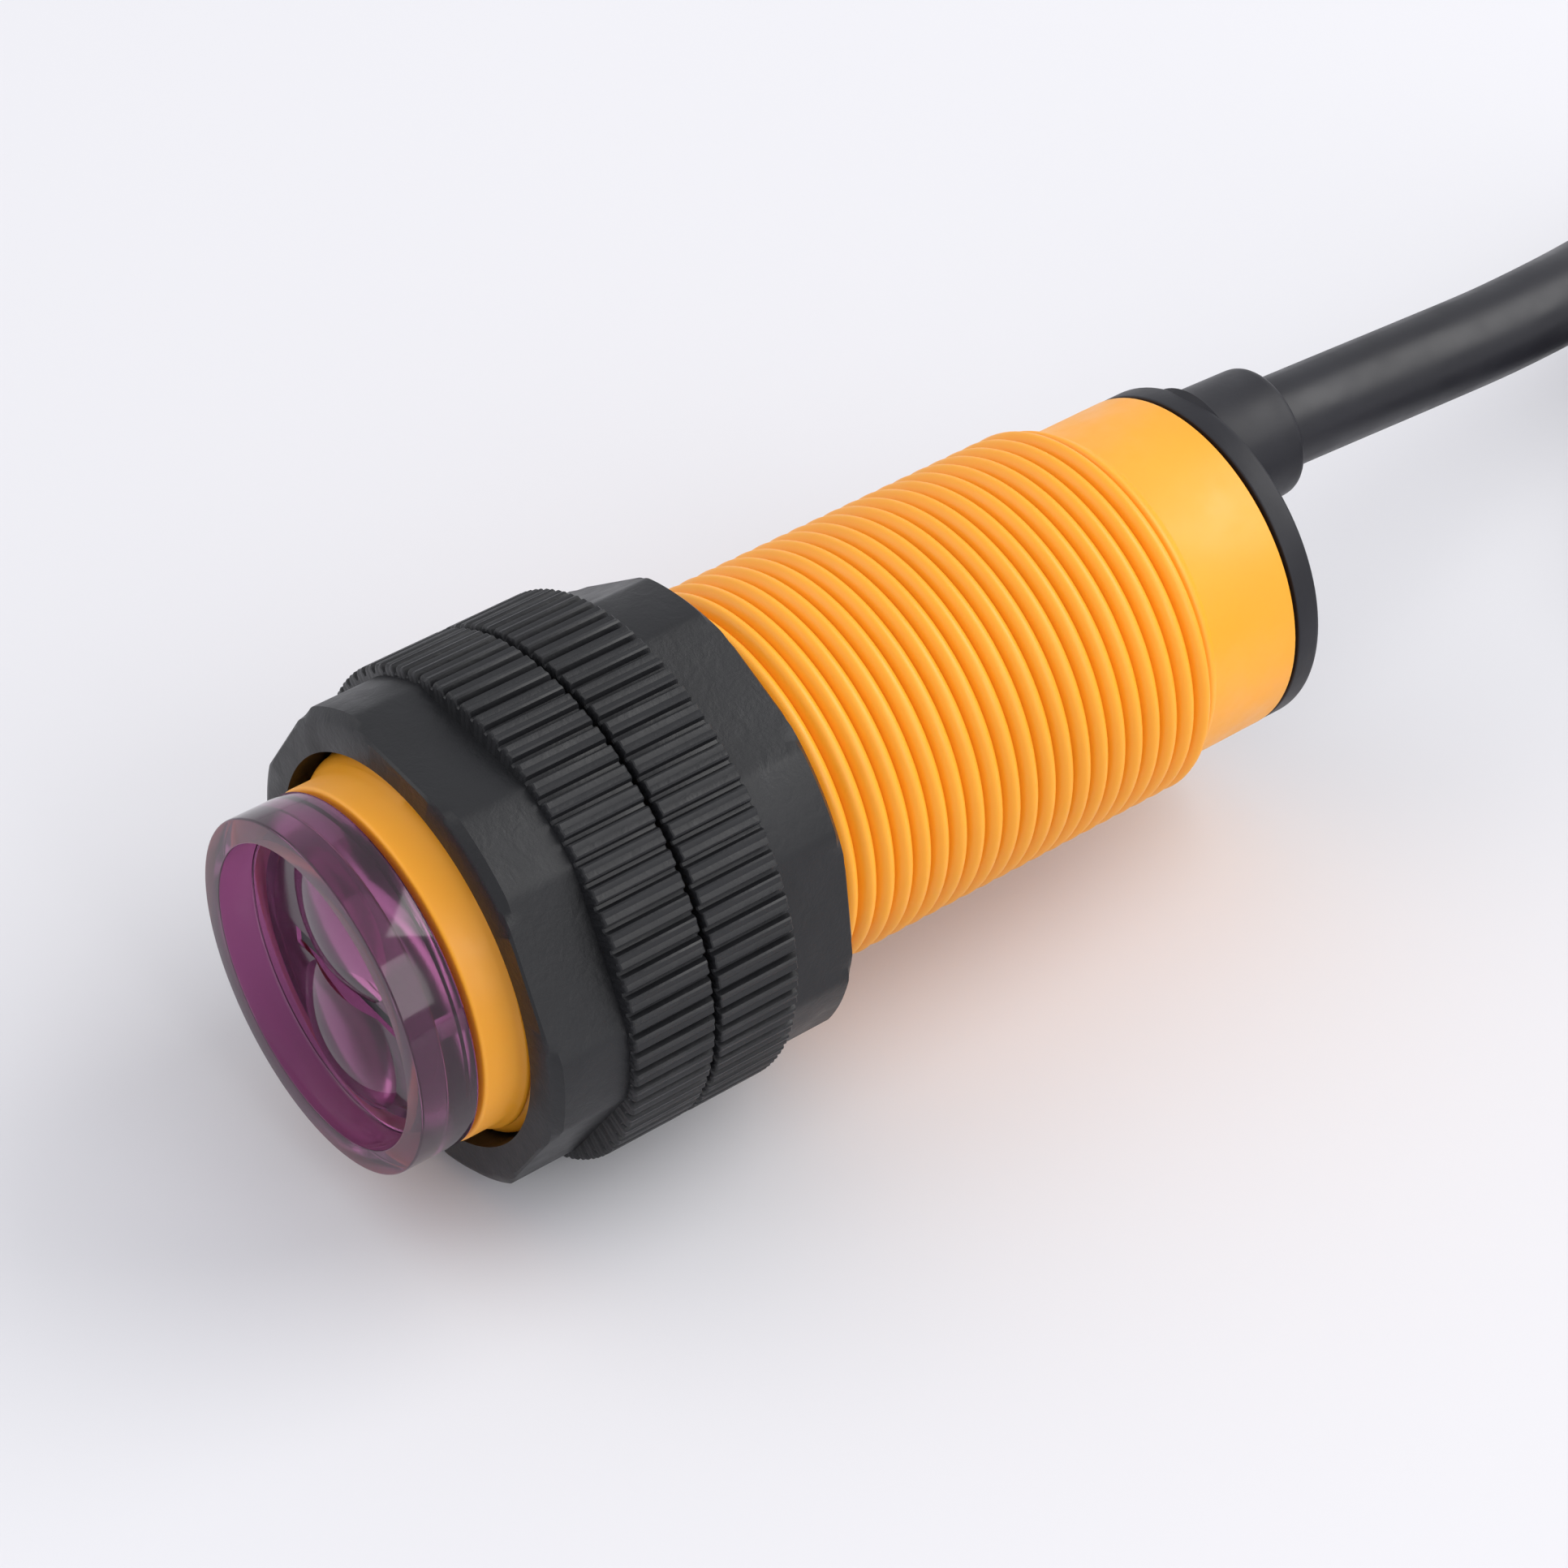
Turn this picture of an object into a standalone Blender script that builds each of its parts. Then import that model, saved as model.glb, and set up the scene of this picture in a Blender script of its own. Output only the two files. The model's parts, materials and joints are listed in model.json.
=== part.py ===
"""M18 diffuse-reflective photoelectric sensor with its two barrel nuts and its three-core cable.

The barrel lies along +Y with the lens at the -Y end. The two nut flanges rest on Z = 0. Distances called
"station" are measured backwards from the lens rim along the barrel's axis.
"""

import bmesh
import bpy
from math import asin, cos, pi, radians, sin
from mathutils import Matrix, Vector

MM = 0.001

# Driving dimensions
THREAD_CREST_R = 9.0 * MM
THREAD_ROOT_R = 8.42 * MM
THREAD_PITCH = 1.0 * MM
THREAD_FRONT = 5.0 * MM
THREAD_REAR = 42.7 * MM
BARREL_R = 8.2 * MM
BARREL_BORE_R = 6.9 * MM
BARREL_FRONT = 3.1 * MM
BARREL_REAR = 47.7 * MM
BARREL_SIDES = 32

LENS_RIM_R = 7.05 * MM
LENS_FLOOR = 1.7 * MM
LENS_BACK = 2.8 * MM
LENS_SKIRT_R = 6.6 * MM
LENS_SKIRT_BORE_R = 6.0 * MM
LENS_SKIRT_END = 4.4 * MM
DOME_R = 3.5 * MM
DOME_RISE = 0.95 * MM
DOME_OFFSET = 3.1 * MM
SLOT_WIDTH = 0.9 * MM
SLOT_LENGTH = 7.4 * MM

NUT_FLANGE_R = 11.57 * MM
NUT_FLAT_R = 10.38 * MM
NUT_FLAT_HALF_ANGLE = radians(20)
NUT_BORE_R = 9.3 * MM
NUT_FLANGE_HEIGHT = 4.1 * MM
NUT_HEIGHT = 7.75 * MM
NUT_CHAMFER = 0.45 * MM
FRONT_NUT_STATION = 4.7 * MM
REAR_NUT_STATION = 12.7 * MM
FRONT_NUT_TURN = radians(2.5)
REAR_NUT_TURN = radians(22.5)

CAP_R = 8.2 * MM
CAP_FRONT = 47.9 * MM
CAP_BACK = 49.2 * MM
CAP_PLUG_R = 6.6 * MM
CAP_PLUG_FRONT = 45.0 * MM
BOSS_X = -0.8 * MM
BOSS_Z = 4.68 * MM
BOSS_BASE_R = 3.3 * MM
BOSS_END_R = 3.15 * MM
BOSS_END = 53.3 * MM
BOSS_BORE_R = 2.5 * MM
BOSS_BORE_FLOOR = 49.3 * MM
CORE_HOLE_X = -0.65 * MM
CORE_HOLE_Z = 3.85 * MM
CORE_HOLE_R = 1.9 * MM

CABLE_D = 4.5 * MM
CABLE_LENGTH = 450 * MM
CONDUCTOR_D = 1.2 * MM
CORE_SPACING = 1.35 * MM
CONDUCTOR_LIFT = 0.05 * MM
CABLE_LIFT = 0.6 * MM

BOARD_WIDTH = 12.4 * MM
BOARD_THICKNESS = 1.2 * MM
BOARD_FRONT = 17.0 * MM
BOARD_REAR = 44.4 * MM
LED_R = 2.5 * MM
LEAD_R = 0.25 * MM
LEAD_SPACING = 2.54 * MM
GAP = 0.3 * MM

TRIMMER_SCREW_X = 1.9 * MM
TRIMMER_SCREW_Z = -3.2 * MM
TRIMMER_NECK_R = 1.05 * MM
INDICATOR_X = -2.6 * MM
INDICATOR_Z = -3.6 * MM
INDICATOR_R = 1.45 * MM

COIL_X = 17.7 * MM
COIL_STATION = 105.35 * MM
COIL_OUTER_TURN_R = 27.0 * MM
COIL_INNER_TURN_R = 22.45 * MM
COIL_TAIL_R = 17.8 * MM
CORES_R = 12.8 * MM
CONNECTOR_LENGTH = 14.0 * MM
CONNECTOR_WIDTH = 7.62 * MM
CONNECTOR_HEIGHT = 2.5 * MM
CONNECTOR_PITCH = 2.54 * MM

AXIS_Z = NUT_FLANGE_R
MID_STATION = BOSS_END / 2

# The coil's angles in degrees: where the laid stretch joins it, and where each row moves in to the next
COIL_START = 17
FIRST_ROW_LEAVES, FIRST_ROW_ENDS = 290, 350
SECOND_ROW_LEAVES, SECOND_ROW_ENDS = 650, 710
TIE_ANGLE = 35
CORES_END_ANGLE = 1155

# The cable's hand-laid stretch, from the boss to the coil: side (X), station and height above the axis
CABLE_ROUTE = [
    (-0.80, 53.3, 4.68),
    (-0.80, 58.0, 4.37),
    (-0.80, 63.0, 4.03),
    (-0.85, 68.0, 3.69),
    (-1.24, 73.0, 3.29),
    (-2.38, 78.0, 2.30),
    (-3.96, 83.0, 0.60),
    (-5.70, 88.0, -1.82),
    (-7.33, 93.0, -4.57),
    (-8.58, 98.0, -6.65),
    (-9.18, 103.0, -8.02),
    (-9.17, 108.0, -8.66),
    (-8.47, 112.0, -8.72),
]


def station(value):
    """The world Y of a distance behind the lens rim."""
    return value - MID_STATION


def clear_scene():
    for item in list(bpy.data.objects):
        bpy.data.objects.remove(item)


def new_collection(name):
    collection = bpy.data.collections.new(name)
    bpy.context.scene.collection.children.link(collection)
    return collection


def material(name, color, roughness, metallic=0.0):
    made = bpy.data.materials.new(name)
    made.use_nodes = True
    shader = made.node_tree.nodes["Principled BSDF"]
    shader.inputs["Base Color"].default_value = (*color, 1.0)
    shader.inputs["Roughness"].default_value = roughness
    shader.inputs["Metallic"].default_value = metallic
    made.diffuse_color = (*color, 1.0)
    return made


clear_scene()
PARTS = new_collection("photoelectric_sensor")
CUTTERS = new_collection("cutters")

ORANGE = material("orange_abs", (0.92, 0.38, 0.03), 0.45)
BLACK = material("black_nylon", (0.02, 0.02, 0.022), 0.5)
PURPLE = material("purple_acrylic", (0.20, 0.05, 0.17), 0.12)
PVC = material("black_pvc", (0.025, 0.025, 0.03), 0.4)
EPOXY_CLEAR = material("clear_epoxy", (0.75, 0.78, 0.85), 0.1)
EPOXY_DARK = material("dark_epoxy", (0.03, 0.02, 0.03), 0.1)
EPOXY_RED = material("red_epoxy", (0.75, 0.03, 0.02), 0.15)
TINNED = material("tinned_copper", (0.72, 0.72, 0.70), 0.3, 1.0)
BRASS = material("brass", (0.78, 0.58, 0.25), 0.3, 1.0)
BOARD_GREEN = material("board_laminate", (0.02, 0.20, 0.08), 0.4)
CHIP = material("chip_epoxy", (0.03, 0.03, 0.03), 0.5)
CERAMIC = material("chip_ceramic", (0.45, 0.36, 0.26), 0.5)
ALUMINA = material("alumina", (0.85, 0.85, 0.82), 0.5)
CAN = material("aluminium_can", (0.75, 0.76, 0.78), 0.3, 1.0)
TRIMMER_BLUE = material("trimmer_blue", (0.03, 0.14, 0.50), 0.4)
BROWN_PVC = material("brown_pvc", (0.22, 0.09, 0.04), 0.45)
BLUE_PVC = material("blue_pvc", (0.03, 0.12, 0.50), 0.45)


def add_object(name, data, look=None, cutter=False):
    made = bpy.data.objects.new(name, data)
    (CUTTERS if cutter else PARTS).objects.link(made)
    if cutter:
        made.hide_render = True
        made.display_type = "WIRE"
    elif look:
        data.materials.append(look)
    return made


def mesh_from(bm, name):
    mesh = bpy.data.meshes.new(name)
    bm.to_mesh(mesh)
    bm.free()
    return mesh


def shade(mesh, angle=35):
    mesh.shade_smooth()
    mesh.set_sharp_from_angle(angle=radians(angle))


def turned(name, profile, look=None, x=0.0, z=0.0, sides=32, sweep=360.0, cutter=False, upright=False):
    """A solid turned from a profile of (radius, height) points, round the barrel's line or an upright one.

    The profile's outer side runs from its highest height to its lowest. Heights are stations behind the lens
    rim for a shape along the barrel, offset sideways by x and upwards by z from its axis.
    """
    bm = bmesh.new()
    points = [bm.verts.new((radius, 0, height)) for radius, height in profile]
    on_axis = profile[0][0] == 0 and profile[-1][0] == 0
    pairs = list(zip(points, points[1:])) + ([] if on_axis else [(points[-1], points[0])])
    for a, b in pairs:
        bm.edges.new((a, b))
    made = add_object(name, mesh_from(bm, name), look, cutter)
    if upright:
        made.location = (x, 0, z)
    else:
        made.rotation_euler = (-pi / 2, 0, 0)
        made.location = (x, -MID_STATION, AXIS_Z + z)
    screw = made.modifiers.new("turn", "SCREW")
    screw.angle = radians(sweep)
    screw.steps = sides
    screw.render_steps = sides
    screw.use_merge_vertices = True
    screw.merge_threshold = 0.00002
    screw.use_smooth_shade = True
    return made


def block(name, low, high, look=None, round_by=0.0, cutter=False):
    """A box from its low to its high corner, in world metres, with its edges rounded off."""
    bm = bmesh.new()
    bmesh.ops.create_cube(bm, size=1.0)
    size = Vector(high) - Vector(low)
    bmesh.ops.scale(bm, vec=size, verts=bm.verts)
    if round_by:
        bmesh.ops.bevel(
            bm, geom=bm.edges, offset=round_by, segments=1, profile=0.5, affect="EDGES", material=-1
        )
    made = add_object(name, mesh_from(bm, name), look, cutter)
    made.location = (Vector(low) + Vector(high)) / 2
    return made


def drill(name, x, z, radius, front, rear, sides=24):
    """A cutter for a round hole along the barrel, from one station to another."""
    bm = bmesh.new()
    bmesh.ops.create_cone(
        bm, cap_ends=True, segments=sides, radius1=radius, radius2=radius, depth=rear - front
    )
    made = add_object(name, mesh_from(bm, name), cutter=True)
    made.rotation_euler = (pi / 2, 0, 0)
    made.location = at(x, (front + rear) / 2, z)
    return made


def cut(target, tool, operation="DIFFERENCE"):
    modifier = target.modifiers.new(operation.lower(), "BOOLEAN")
    modifier.operation = operation
    modifier.object = tool
    return modifier


def smooth_line(points, spacing):
    """Points a given distance apart along a Catmull-Rom curve through the given ones."""
    points = [Vector(p) for p in points]
    ends = [2 * points[0] - points[1]] + points + [2 * points[-1] - points[-2]]
    fine = []
    for a, b, c, d in zip(ends, ends[1:], ends[2:], ends[3:]):
        for step in range(24):
            t = step / 24
            square = (2 * a - 5 * b + 4 * c - d) * t**2
            cube = (3 * b - a - 3 * c + d) * t**3
            fine.append(0.5 * (2 * b + (c - a) * t + square + cube))
    fine.append(points[-1])
    total = sum((b - a).length for a, b in zip(fine, fine[1:]))
    count = max(2, round(total / spacing))
    kept, walked, wanted = [fine[0]], 0.0, total / count
    for a, b in zip(fine, fine[1:]):
        step = (b - a).length
        while walked + step >= wanted - 1e-9 and len(kept) < count:
            kept.append(a.lerp(b, (wanted - walked) / step))
            wanted += total / count
        walked += step
    return kept + [fine[-1]]


def tube(name, points, radius, look, resolution=2):
    """A round solid along a line of points, with closed ends."""
    curve = bpy.data.curves.new(name, "CURVE")
    curve.dimensions = "3D"
    curve.bevel_depth = radius
    curve.bevel_resolution = resolution
    curve.use_fill_caps = True
    spline = curve.splines.new("POLY")
    spline.points.add(len(points) - 1)
    for point, place in zip(spline.points, points):
        point.co = (*place, 1.0)
    return add_object(name, curve, look)


def at(x, behind, z):
    """A world point from its side, its station and its height above the barrel's axis, in metres."""
    return Vector((x, station(behind), AXIS_Z + z))


def line_length(points):
    return sum((Vector(b) - Vector(a)).length for a, b in zip(points, points[1:]))


# ---------------------------------------------------------------------------------------------------- barrel


def barrel():
    """The threaded tube: rows of points round the axis, sheared by one pitch a turn where the thread runs."""
    turns = round((THREAD_REAR - THREAD_FRONT) / THREAD_PITCH) + 1
    rows = [
        (BARREL_BORE_R, BARREL_FRONT, False),
        (BARREL_R - 0.15 * MM, BARREL_FRONT, False),
        (BARREL_R, BARREL_FRONT + 0.15 * MM, False),
        (BARREL_R, THREAD_FRONT - 0.5 * MM, False),
    ]
    for half in range(2 * turns + 1):
        radius = THREAD_CREST_R if half % 2 else THREAD_ROOT_R
        rows.append((radius, THREAD_FRONT + (half / 2 - 1) * THREAD_PITCH, True))
    rows += [
        (BARREL_R, THREAD_REAR + 0.2 * MM, False),
        (BARREL_R, BARREL_REAR, False),
        (BARREL_BORE_R, BARREL_REAR, False),
        (BARREL_BORE_R, BARREL_FRONT, False),
    ]
    bm = bmesh.new()
    bmesh.ops.create_grid(bm, x_segments=BARREL_SIDES, y_segments=len(rows) - 1, size=1.0)
    for vert in bm.verts:
        column = round((vert.co.x + 1) / 2 * BARREL_SIDES)
        radius, behind, threaded = rows[round((vert.co.y + 1) / 2 * (len(rows) - 1))]
        turn = column / BARREL_SIDES
        if threaded:
            behind = min(max(behind + turn * THREAD_PITCH, THREAD_FRONT), THREAD_REAR)
            fade = min(1.0, (behind - THREAD_FRONT) / THREAD_PITCH, (THREAD_REAR - behind) / THREAD_PITCH)
            radius = THREAD_ROOT_R + (radius - THREAD_ROOT_R) * fade
        vert.co = (radius * sin(2 * pi * turn), station(behind), AXIS_Z + radius * cos(2 * pi * turn))
    bmesh.ops.remove_doubles(bm, verts=bm.verts, dist=0.000002)
    bmesh.ops.dissolve_degenerate(bm, edges=bm.edges, dist=0.000001)
    bmesh.ops.recalc_face_normals(bm, faces=bm.faces)
    mesh = mesh_from(bm, "barrel")
    shade(mesh)
    add_object("barrel", mesh, ORANGE)


# ---------------------------------------------------------------------------------------------------- optics


def dome_profile(base, front, radius, rise, steps=5):
    """A spherical cap that bulges towards the lens rim, on a short round stub."""
    sphere = (radius**2 + rise**2) / (2 * rise)
    tilt = asin(radius / sphere)
    arc = [
        (sphere * sin(tilt * k / steps), front + sphere * (1 - cos(tilt * k / steps)) - rise)
        for k in range(steps, -1, -1)
    ]
    return [(0, base), (radius, base)] + arc


def lens_cap():
    """The tinted cup that closes the front, with two lenses side by side in its recess and a slot between."""
    cap = turned(
        "lens_cap",
        [
            (0, LENS_BACK),
            (LENS_SKIRT_BORE_R, LENS_BACK),
            (LENS_SKIRT_BORE_R, LENS_SKIRT_END),
            (LENS_SKIRT_R, LENS_SKIRT_END),
            (LENS_SKIRT_R, LENS_BACK),
            (BARREL_R, LENS_BACK),
            (BARREL_R, 0.12 * MM),
            (BARREL_R - 0.12 * MM, 0),
            (LENS_RIM_R, 0),
            (LENS_RIM_R - 0.05 * MM, LENS_FLOOR),
            (0, LENS_FLOOR),
        ],
        PURPLE,
        sides=40,
    )
    for side in (1, -1):
        dome = turned(
            f"dome_shape_{'upper' if side > 0 else 'lower'}",
            dome_profile(LENS_FLOOR + 0.4 * MM, LENS_FLOOR, DOME_R, DOME_RISE),
            z=side * DOME_OFFSET,
            sides=32,
            cutter=True,
        )
        cut(cap, dome, "UNION")
    slot = block(
        "slot_shape",
        at(-SLOT_LENGTH / 2, -0.5 * MM, -SLOT_WIDTH / 2),
        at(SLOT_LENGTH / 2, LENS_BACK + 0.5 * MM, SLOT_WIDTH / 2),
        cutter=True,
    )
    cut(cap, slot)


def optics_holder():
    """The black insert that holds both diodes, with the thin wall that keeps their light apart."""
    front, rear = LENS_SKIRT_END + GAP, 12.7 * MM
    holder = turned(
        "optics_holder", [(0, rear), (LENS_SKIRT_R, rear), (LENS_SKIRT_R, front), (0, front)], BLACK
    )
    wall = block(
        "divider_shape",
        at(-SLOT_LENGTH / 2 + 0.2 * MM, LENS_FLOOR + 0.1 * MM, -0.25 * MM),
        at(SLOT_LENGTH / 2 - 0.2 * MM, front + 1.0 * MM, 0.25 * MM),
        cutter=True,
    )
    cut(holder, wall, "UNION")
    for row, side in (("upper", 1), ("lower", -1)):
        cut(
            holder,
            drill(f"pocket_shape_{row}", 0, side * DOME_OFFSET, LED_R + GAP, front - MM, rear + MM),
        )


def diode(name, look, side):
    """A 5 mm diode in the holder, and its two leads back to the board's edge."""
    tip, shoulder, flange, base = 5.3 * MM, 7.6 * MM, 13.0 * MM, 14.0 * MM
    round_nose = []
    for step in range(4, -1, -1):
        angle = pi / 2 * step / 4
        round_nose.append((LED_R * sin(angle), tip + (shoulder - tip) * (1 - cos(angle))))
    turned(
        name,
        [(0, base), (LED_R + 0.4 * MM, base), (LED_R + 0.4 * MM, flange), (LED_R, flange)] + round_nose,
        look,
        z=side * DOME_OFFSET,
        sides=24,
    )
    board_face = side * (BOARD_THICKNESS / 2 + LEAD_R + 0.1 * MM)
    for which, x in (("anode", -LEAD_SPACING / 2), ("cathode", LEAD_SPACING / 2)):
        route = [
            at(x, base + 0.2 * MM, side * DOME_OFFSET),
            at(x, base + 1.2 * MM, side * DOME_OFFSET * 0.93),
            at(x, base + 2.4 * MM, side * DOME_OFFSET * 0.6),
            at(x, base + 3.6 * MM, board_face * 1.1),
            at(x, base + 6.0 * MM, board_face),
        ]
        tube(f"{name}_{which}_lead", smooth_line(route, 1.2 * MM), LEAD_R, TINNED, resolution=1)


# ------------------------------------------------------------------------------------------------- electronics


def board():
    half = BOARD_WIDTH / 2
    block(
        "circuit_board",
        at(-half, BOARD_FRONT, -BOARD_THICKNESS / 2),
        at(half, BOARD_REAR, BOARD_THICKNESS / 2),
        BOARD_GREEN,
        round_by=0.15 * MM,
    )


def on_board(name, x, behind, size, look, side=1, lift=0.25 * MM, round_by=0.0):
    """A box-shaped part on the board's upper (1) or lower (-1) face; size is across, along and high."""
    across, along, high = size
    near = BOARD_THICKNESS / 2 + lift
    low_z, high_z = sorted((side * near, side * (near + high)))
    return block(
        name,
        at(x - across / 2, behind - along / 2, low_z),
        at(x + across / 2, behind + along / 2, high_z),
        look,
        round_by,
    )


def chip(name, x, behind, side):
    """An eight-leg chip: a moulded body with four flat legs to each side."""
    body = on_board(name, x, behind, (3.9 * MM, 4.9 * MM, 1.5 * MM), CHIP, side, 0.35 * MM, 0.12 * MM)
    bm = bmesh.new()
    foot_z = AXIS_Z + side * (BOARD_THICKNESS / 2 + 0.3 * MM)
    for leg in range(4):
        along = station(behind) + (leg - 1.5) * 1.27 * MM
        grown = bmesh.ops.create_cube(bm, size=1.0)["verts"]
        bmesh.ops.scale(bm, vec=(6.0 * MM, 0.4 * MM, 0.2 * MM), verts=grown)
        bmesh.ops.translate(bm, vec=(x, along, foot_z + side * 0.25 * MM), verts=grown)
    legs = add_object(name + "_legs_shape", mesh_from(bm, name + "_legs_shape"), cutter=True)
    cut(body, legs, "UNION")


def electronics():
    board()
    chip("modulator_chip", 0.0, 25.0 * MM, 1)
    chip("receiver_chip", 0.0, 25.0 * MM, -1)
    regulator_size = (2.5 * MM, 4.5 * MM, 1.5 * MM)
    transistor_size = (1.4 * MM, 2.9 * MM, 1.0 * MM)
    on_board("voltage_regulator", 2.6 * MM, 31.0 * MM, regulator_size, CHIP, -1, round_by=0.1 * MM)
    on_board("output_transistor", -3.0 * MM, 31.0 * MM, transistor_size, CHIP, -1, round_by=0.08 * MM)
    turned(
        "filter_capacitor",
        [
            (0, AXIS_Z + 6.2 * MM),
            (1.85 * MM, AXIS_Z + 6.2 * MM),
            (2.0 * MM, AXIS_Z + 6.0 * MM),
            (2.0 * MM, AXIS_Z + 1.7 * MM),
            (1.85 * MM, AXIS_Z + 1.5 * MM),
            (2.0 * MM, AXIS_Z + 1.3 * MM),
            (2.0 * MM, AXIS_Z + 0.9 * MM),
            (0, AXIS_Z + 0.9 * MM),
        ],
        CAN,
        sides=24,
        upright=True,
    ).location = (0.6 * MM, station(33.5 * MM), 0)
    resistor_size = (1.25 * MM, 2.0 * MM, 0.5 * MM)
    resistor_places = [(-4.6, 20.0, 1), (4.6, 22.0, 1), (-4.6, 28.5, 1), (4.6, 28.5, -1), (-4.6, 21.5, -1)]
    for number, (x, behind, side) in enumerate(resistor_places, 1):
        name = f"resistor_{number}"
        on_board(name, x * MM, behind * MM, resistor_size, ALUMINA, side, round_by=0.05 * MM)
    capacitor_places = [(4.6, 26.5, 1), (-4.6, 26.0, -1), (4.6, 33.0, 1)]
    capacitor_size = (1.25 * MM, 2.0 * MM, 0.8 * MM)
    for number, (x, behind, side) in enumerate(capacitor_places, 1):
        name = f"ceramic_capacitor_{number}"
        on_board(name, x * MM, behind * MM, capacitor_size, CERAMIC, side, round_by=0.08 * MM)


def trimmer():
    """The many-turn sensitivity trimmer under the board: its screw is a worm that turns a rotor in the case."""
    front, rear, half = 36.5 * MM, 43.2 * MM, 3.35 * MM
    top, bottom, wall = -0.9 * MM, -5.4 * MM, 0.4 * MM
    case = block("trimmer_case", at(-half, front, bottom), at(half, rear, top), TRIMMER_BLUE, 0.1 * MM)
    hollow = block(
        "trimmer_hollow_shape",
        at(-half + wall, front + wall, bottom + wall),
        at(half - wall, rear - wall, top + MM),
        cutter=True,
    )
    cut(case, hollow)
    neck_hole = (TRIMMER_NECK_R + 0.2 * MM, rear - MM, rear + MM)
    cut(case, drill("trimmer_hole_shape", TRIMMER_SCREW_X, TRIMMER_SCREW_Z, *neck_hole))
    block(
        "trimmer_element",
        at(-half + wall + 0.2 * MM, front + wall + 0.2 * MM, -1.5 * MM),
        at(half - wall - 0.2 * MM, rear - wall - 0.2 * MM, -1.0 * MM),
        ALUMINA,
    )
    rotor = turned(
        "trimmer_rotor",
        [(0, -1.8 * MM), (1.75 * MM, -1.8 * MM), (1.75 * MM, -4.6 * MM), (0, -4.6 * MM)],
        ALUMINA,
        sides=20,
        upright=True,
    )
    rotor.location = (-1.05 * MM, station(39.9 * MM), AXIS_Z)
    head_end = 47.2 * MM
    worm_front, worm_rear, worm_r = 37.3 * MM, 42.3 * MM, 0.85 * MM
    screw = turned(
        "trimmer_screw",
        [
            (0, head_end),
            (TRIMMER_NECK_R - 0.1 * MM, head_end),
            (TRIMMER_NECK_R, head_end - 0.1 * MM),
            (TRIMMER_NECK_R, worm_rear),
            (worm_r, worm_rear),
            (worm_r, worm_front),
            (0, worm_front),
        ],
        BRASS,
        x=TRIMMER_SCREW_X,
        z=TRIMMER_SCREW_Z,
        sides=20,
    )
    slot = block(
        "screw_slot_shape",
        at(TRIMMER_SCREW_X - 1.5 * MM, head_end - 0.7 * MM, TRIMMER_SCREW_Z - 0.22 * MM),
        at(TRIMMER_SCREW_X + 1.5 * MM, head_end + MM, TRIMMER_SCREW_Z + 0.22 * MM),
        cutter=True,
    )
    cut(screw, slot)


def indicator():
    """The 3 mm red indicator in the rear cap, on two leads bent up to the board."""
    radius, tip, shoulder, base = INDICATOR_R, 49.9 * MM, 48.5 * MM, 45.2 * MM
    nose = [
        (radius * sin(pi / 2 * k / 4), shoulder + (tip - shoulder) * cos(pi / 2 * k / 4)) for k in range(5)
    ]
    turned(
        "indicator_led",
        nose + [(radius, base), (0, base)],
        EPOXY_RED,
        x=INDICATOR_X,
        z=INDICATOR_Z,
        sides=24,
    )
    for which, side in (("anode", -1), ("cathode", 1)):
        x = INDICATOR_X + side * 0.7 * MM
        route = [
            at(x, base - 0.2 * MM, INDICATOR_Z),
            at(x, base - 1.0 * MM, INDICATOR_Z + 0.15 * MM),
            at(x, base - 1.35 * MM, INDICATOR_Z + 0.9 * MM),
            at(x, base - 1.35 * MM, -BOARD_THICKNESS / 2 - 0.2 * MM),
        ]
        tube(f"indicator_led_{which}_lead", smooth_line(route, 0.9 * MM), LEAD_R, TINNED, resolution=1)


# --------------------------------------------------------------------------------------------------- rear cap


def rear_cap():
    """The black plug that closes the back, with its cable boss and the holes for the screw and indicator."""
    cap = turned(
        "rear_cap",
        [
            (0, CAP_BACK),
            (CAP_R - 0.25 * MM, CAP_BACK),
            (CAP_R, CAP_BACK - 0.25 * MM),
            (CAP_R, CAP_FRONT),
            (CAP_PLUG_R, CAP_FRONT),
            (CAP_PLUG_R, CAP_PLUG_FRONT),
            (0, CAP_PLUG_FRONT),
        ],
        BLACK,
        sides=40,
    )
    boss = turned(
        "boss_shape",
        [
            (0, BOSS_END),
            (BOSS_END_R - 0.4 * MM, BOSS_END),
            (BOSS_END_R - 0.1 * MM, BOSS_END - 0.12 * MM),
            (BOSS_END_R, BOSS_END - 0.4 * MM),
            (BOSS_BASE_R, CAP_BACK - 0.5 * MM),
            (0, CAP_BACK - 0.5 * MM),
        ],
        x=BOSS_X,
        z=BOSS_Z,
        sides=32,
        cutter=True,
    )
    cut(cap, boss, "UNION")
    holes = [
        ("cable_hole_shape", BOSS_X, BOSS_Z, BOSS_BORE_R, BOSS_BORE_FLOOR),
        ("core_hole_shape", CORE_HOLE_X, CORE_HOLE_Z, CORE_HOLE_R, CAP_PLUG_FRONT - MM),
        ("screw_hole_shape", TRIMMER_SCREW_X, TRIMMER_SCREW_Z, TRIMMER_NECK_R + GAP, CAP_PLUG_FRONT - MM),
        ("indicator_hole_shape", INDICATOR_X, INDICATOR_Z, INDICATOR_R + GAP, CAP_PLUG_FRONT - MM),
    ]
    for name, x, z, radius, start in holes:
        cut(cap, drill(name, x, z, radius, start, BOSS_END + MM))


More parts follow.
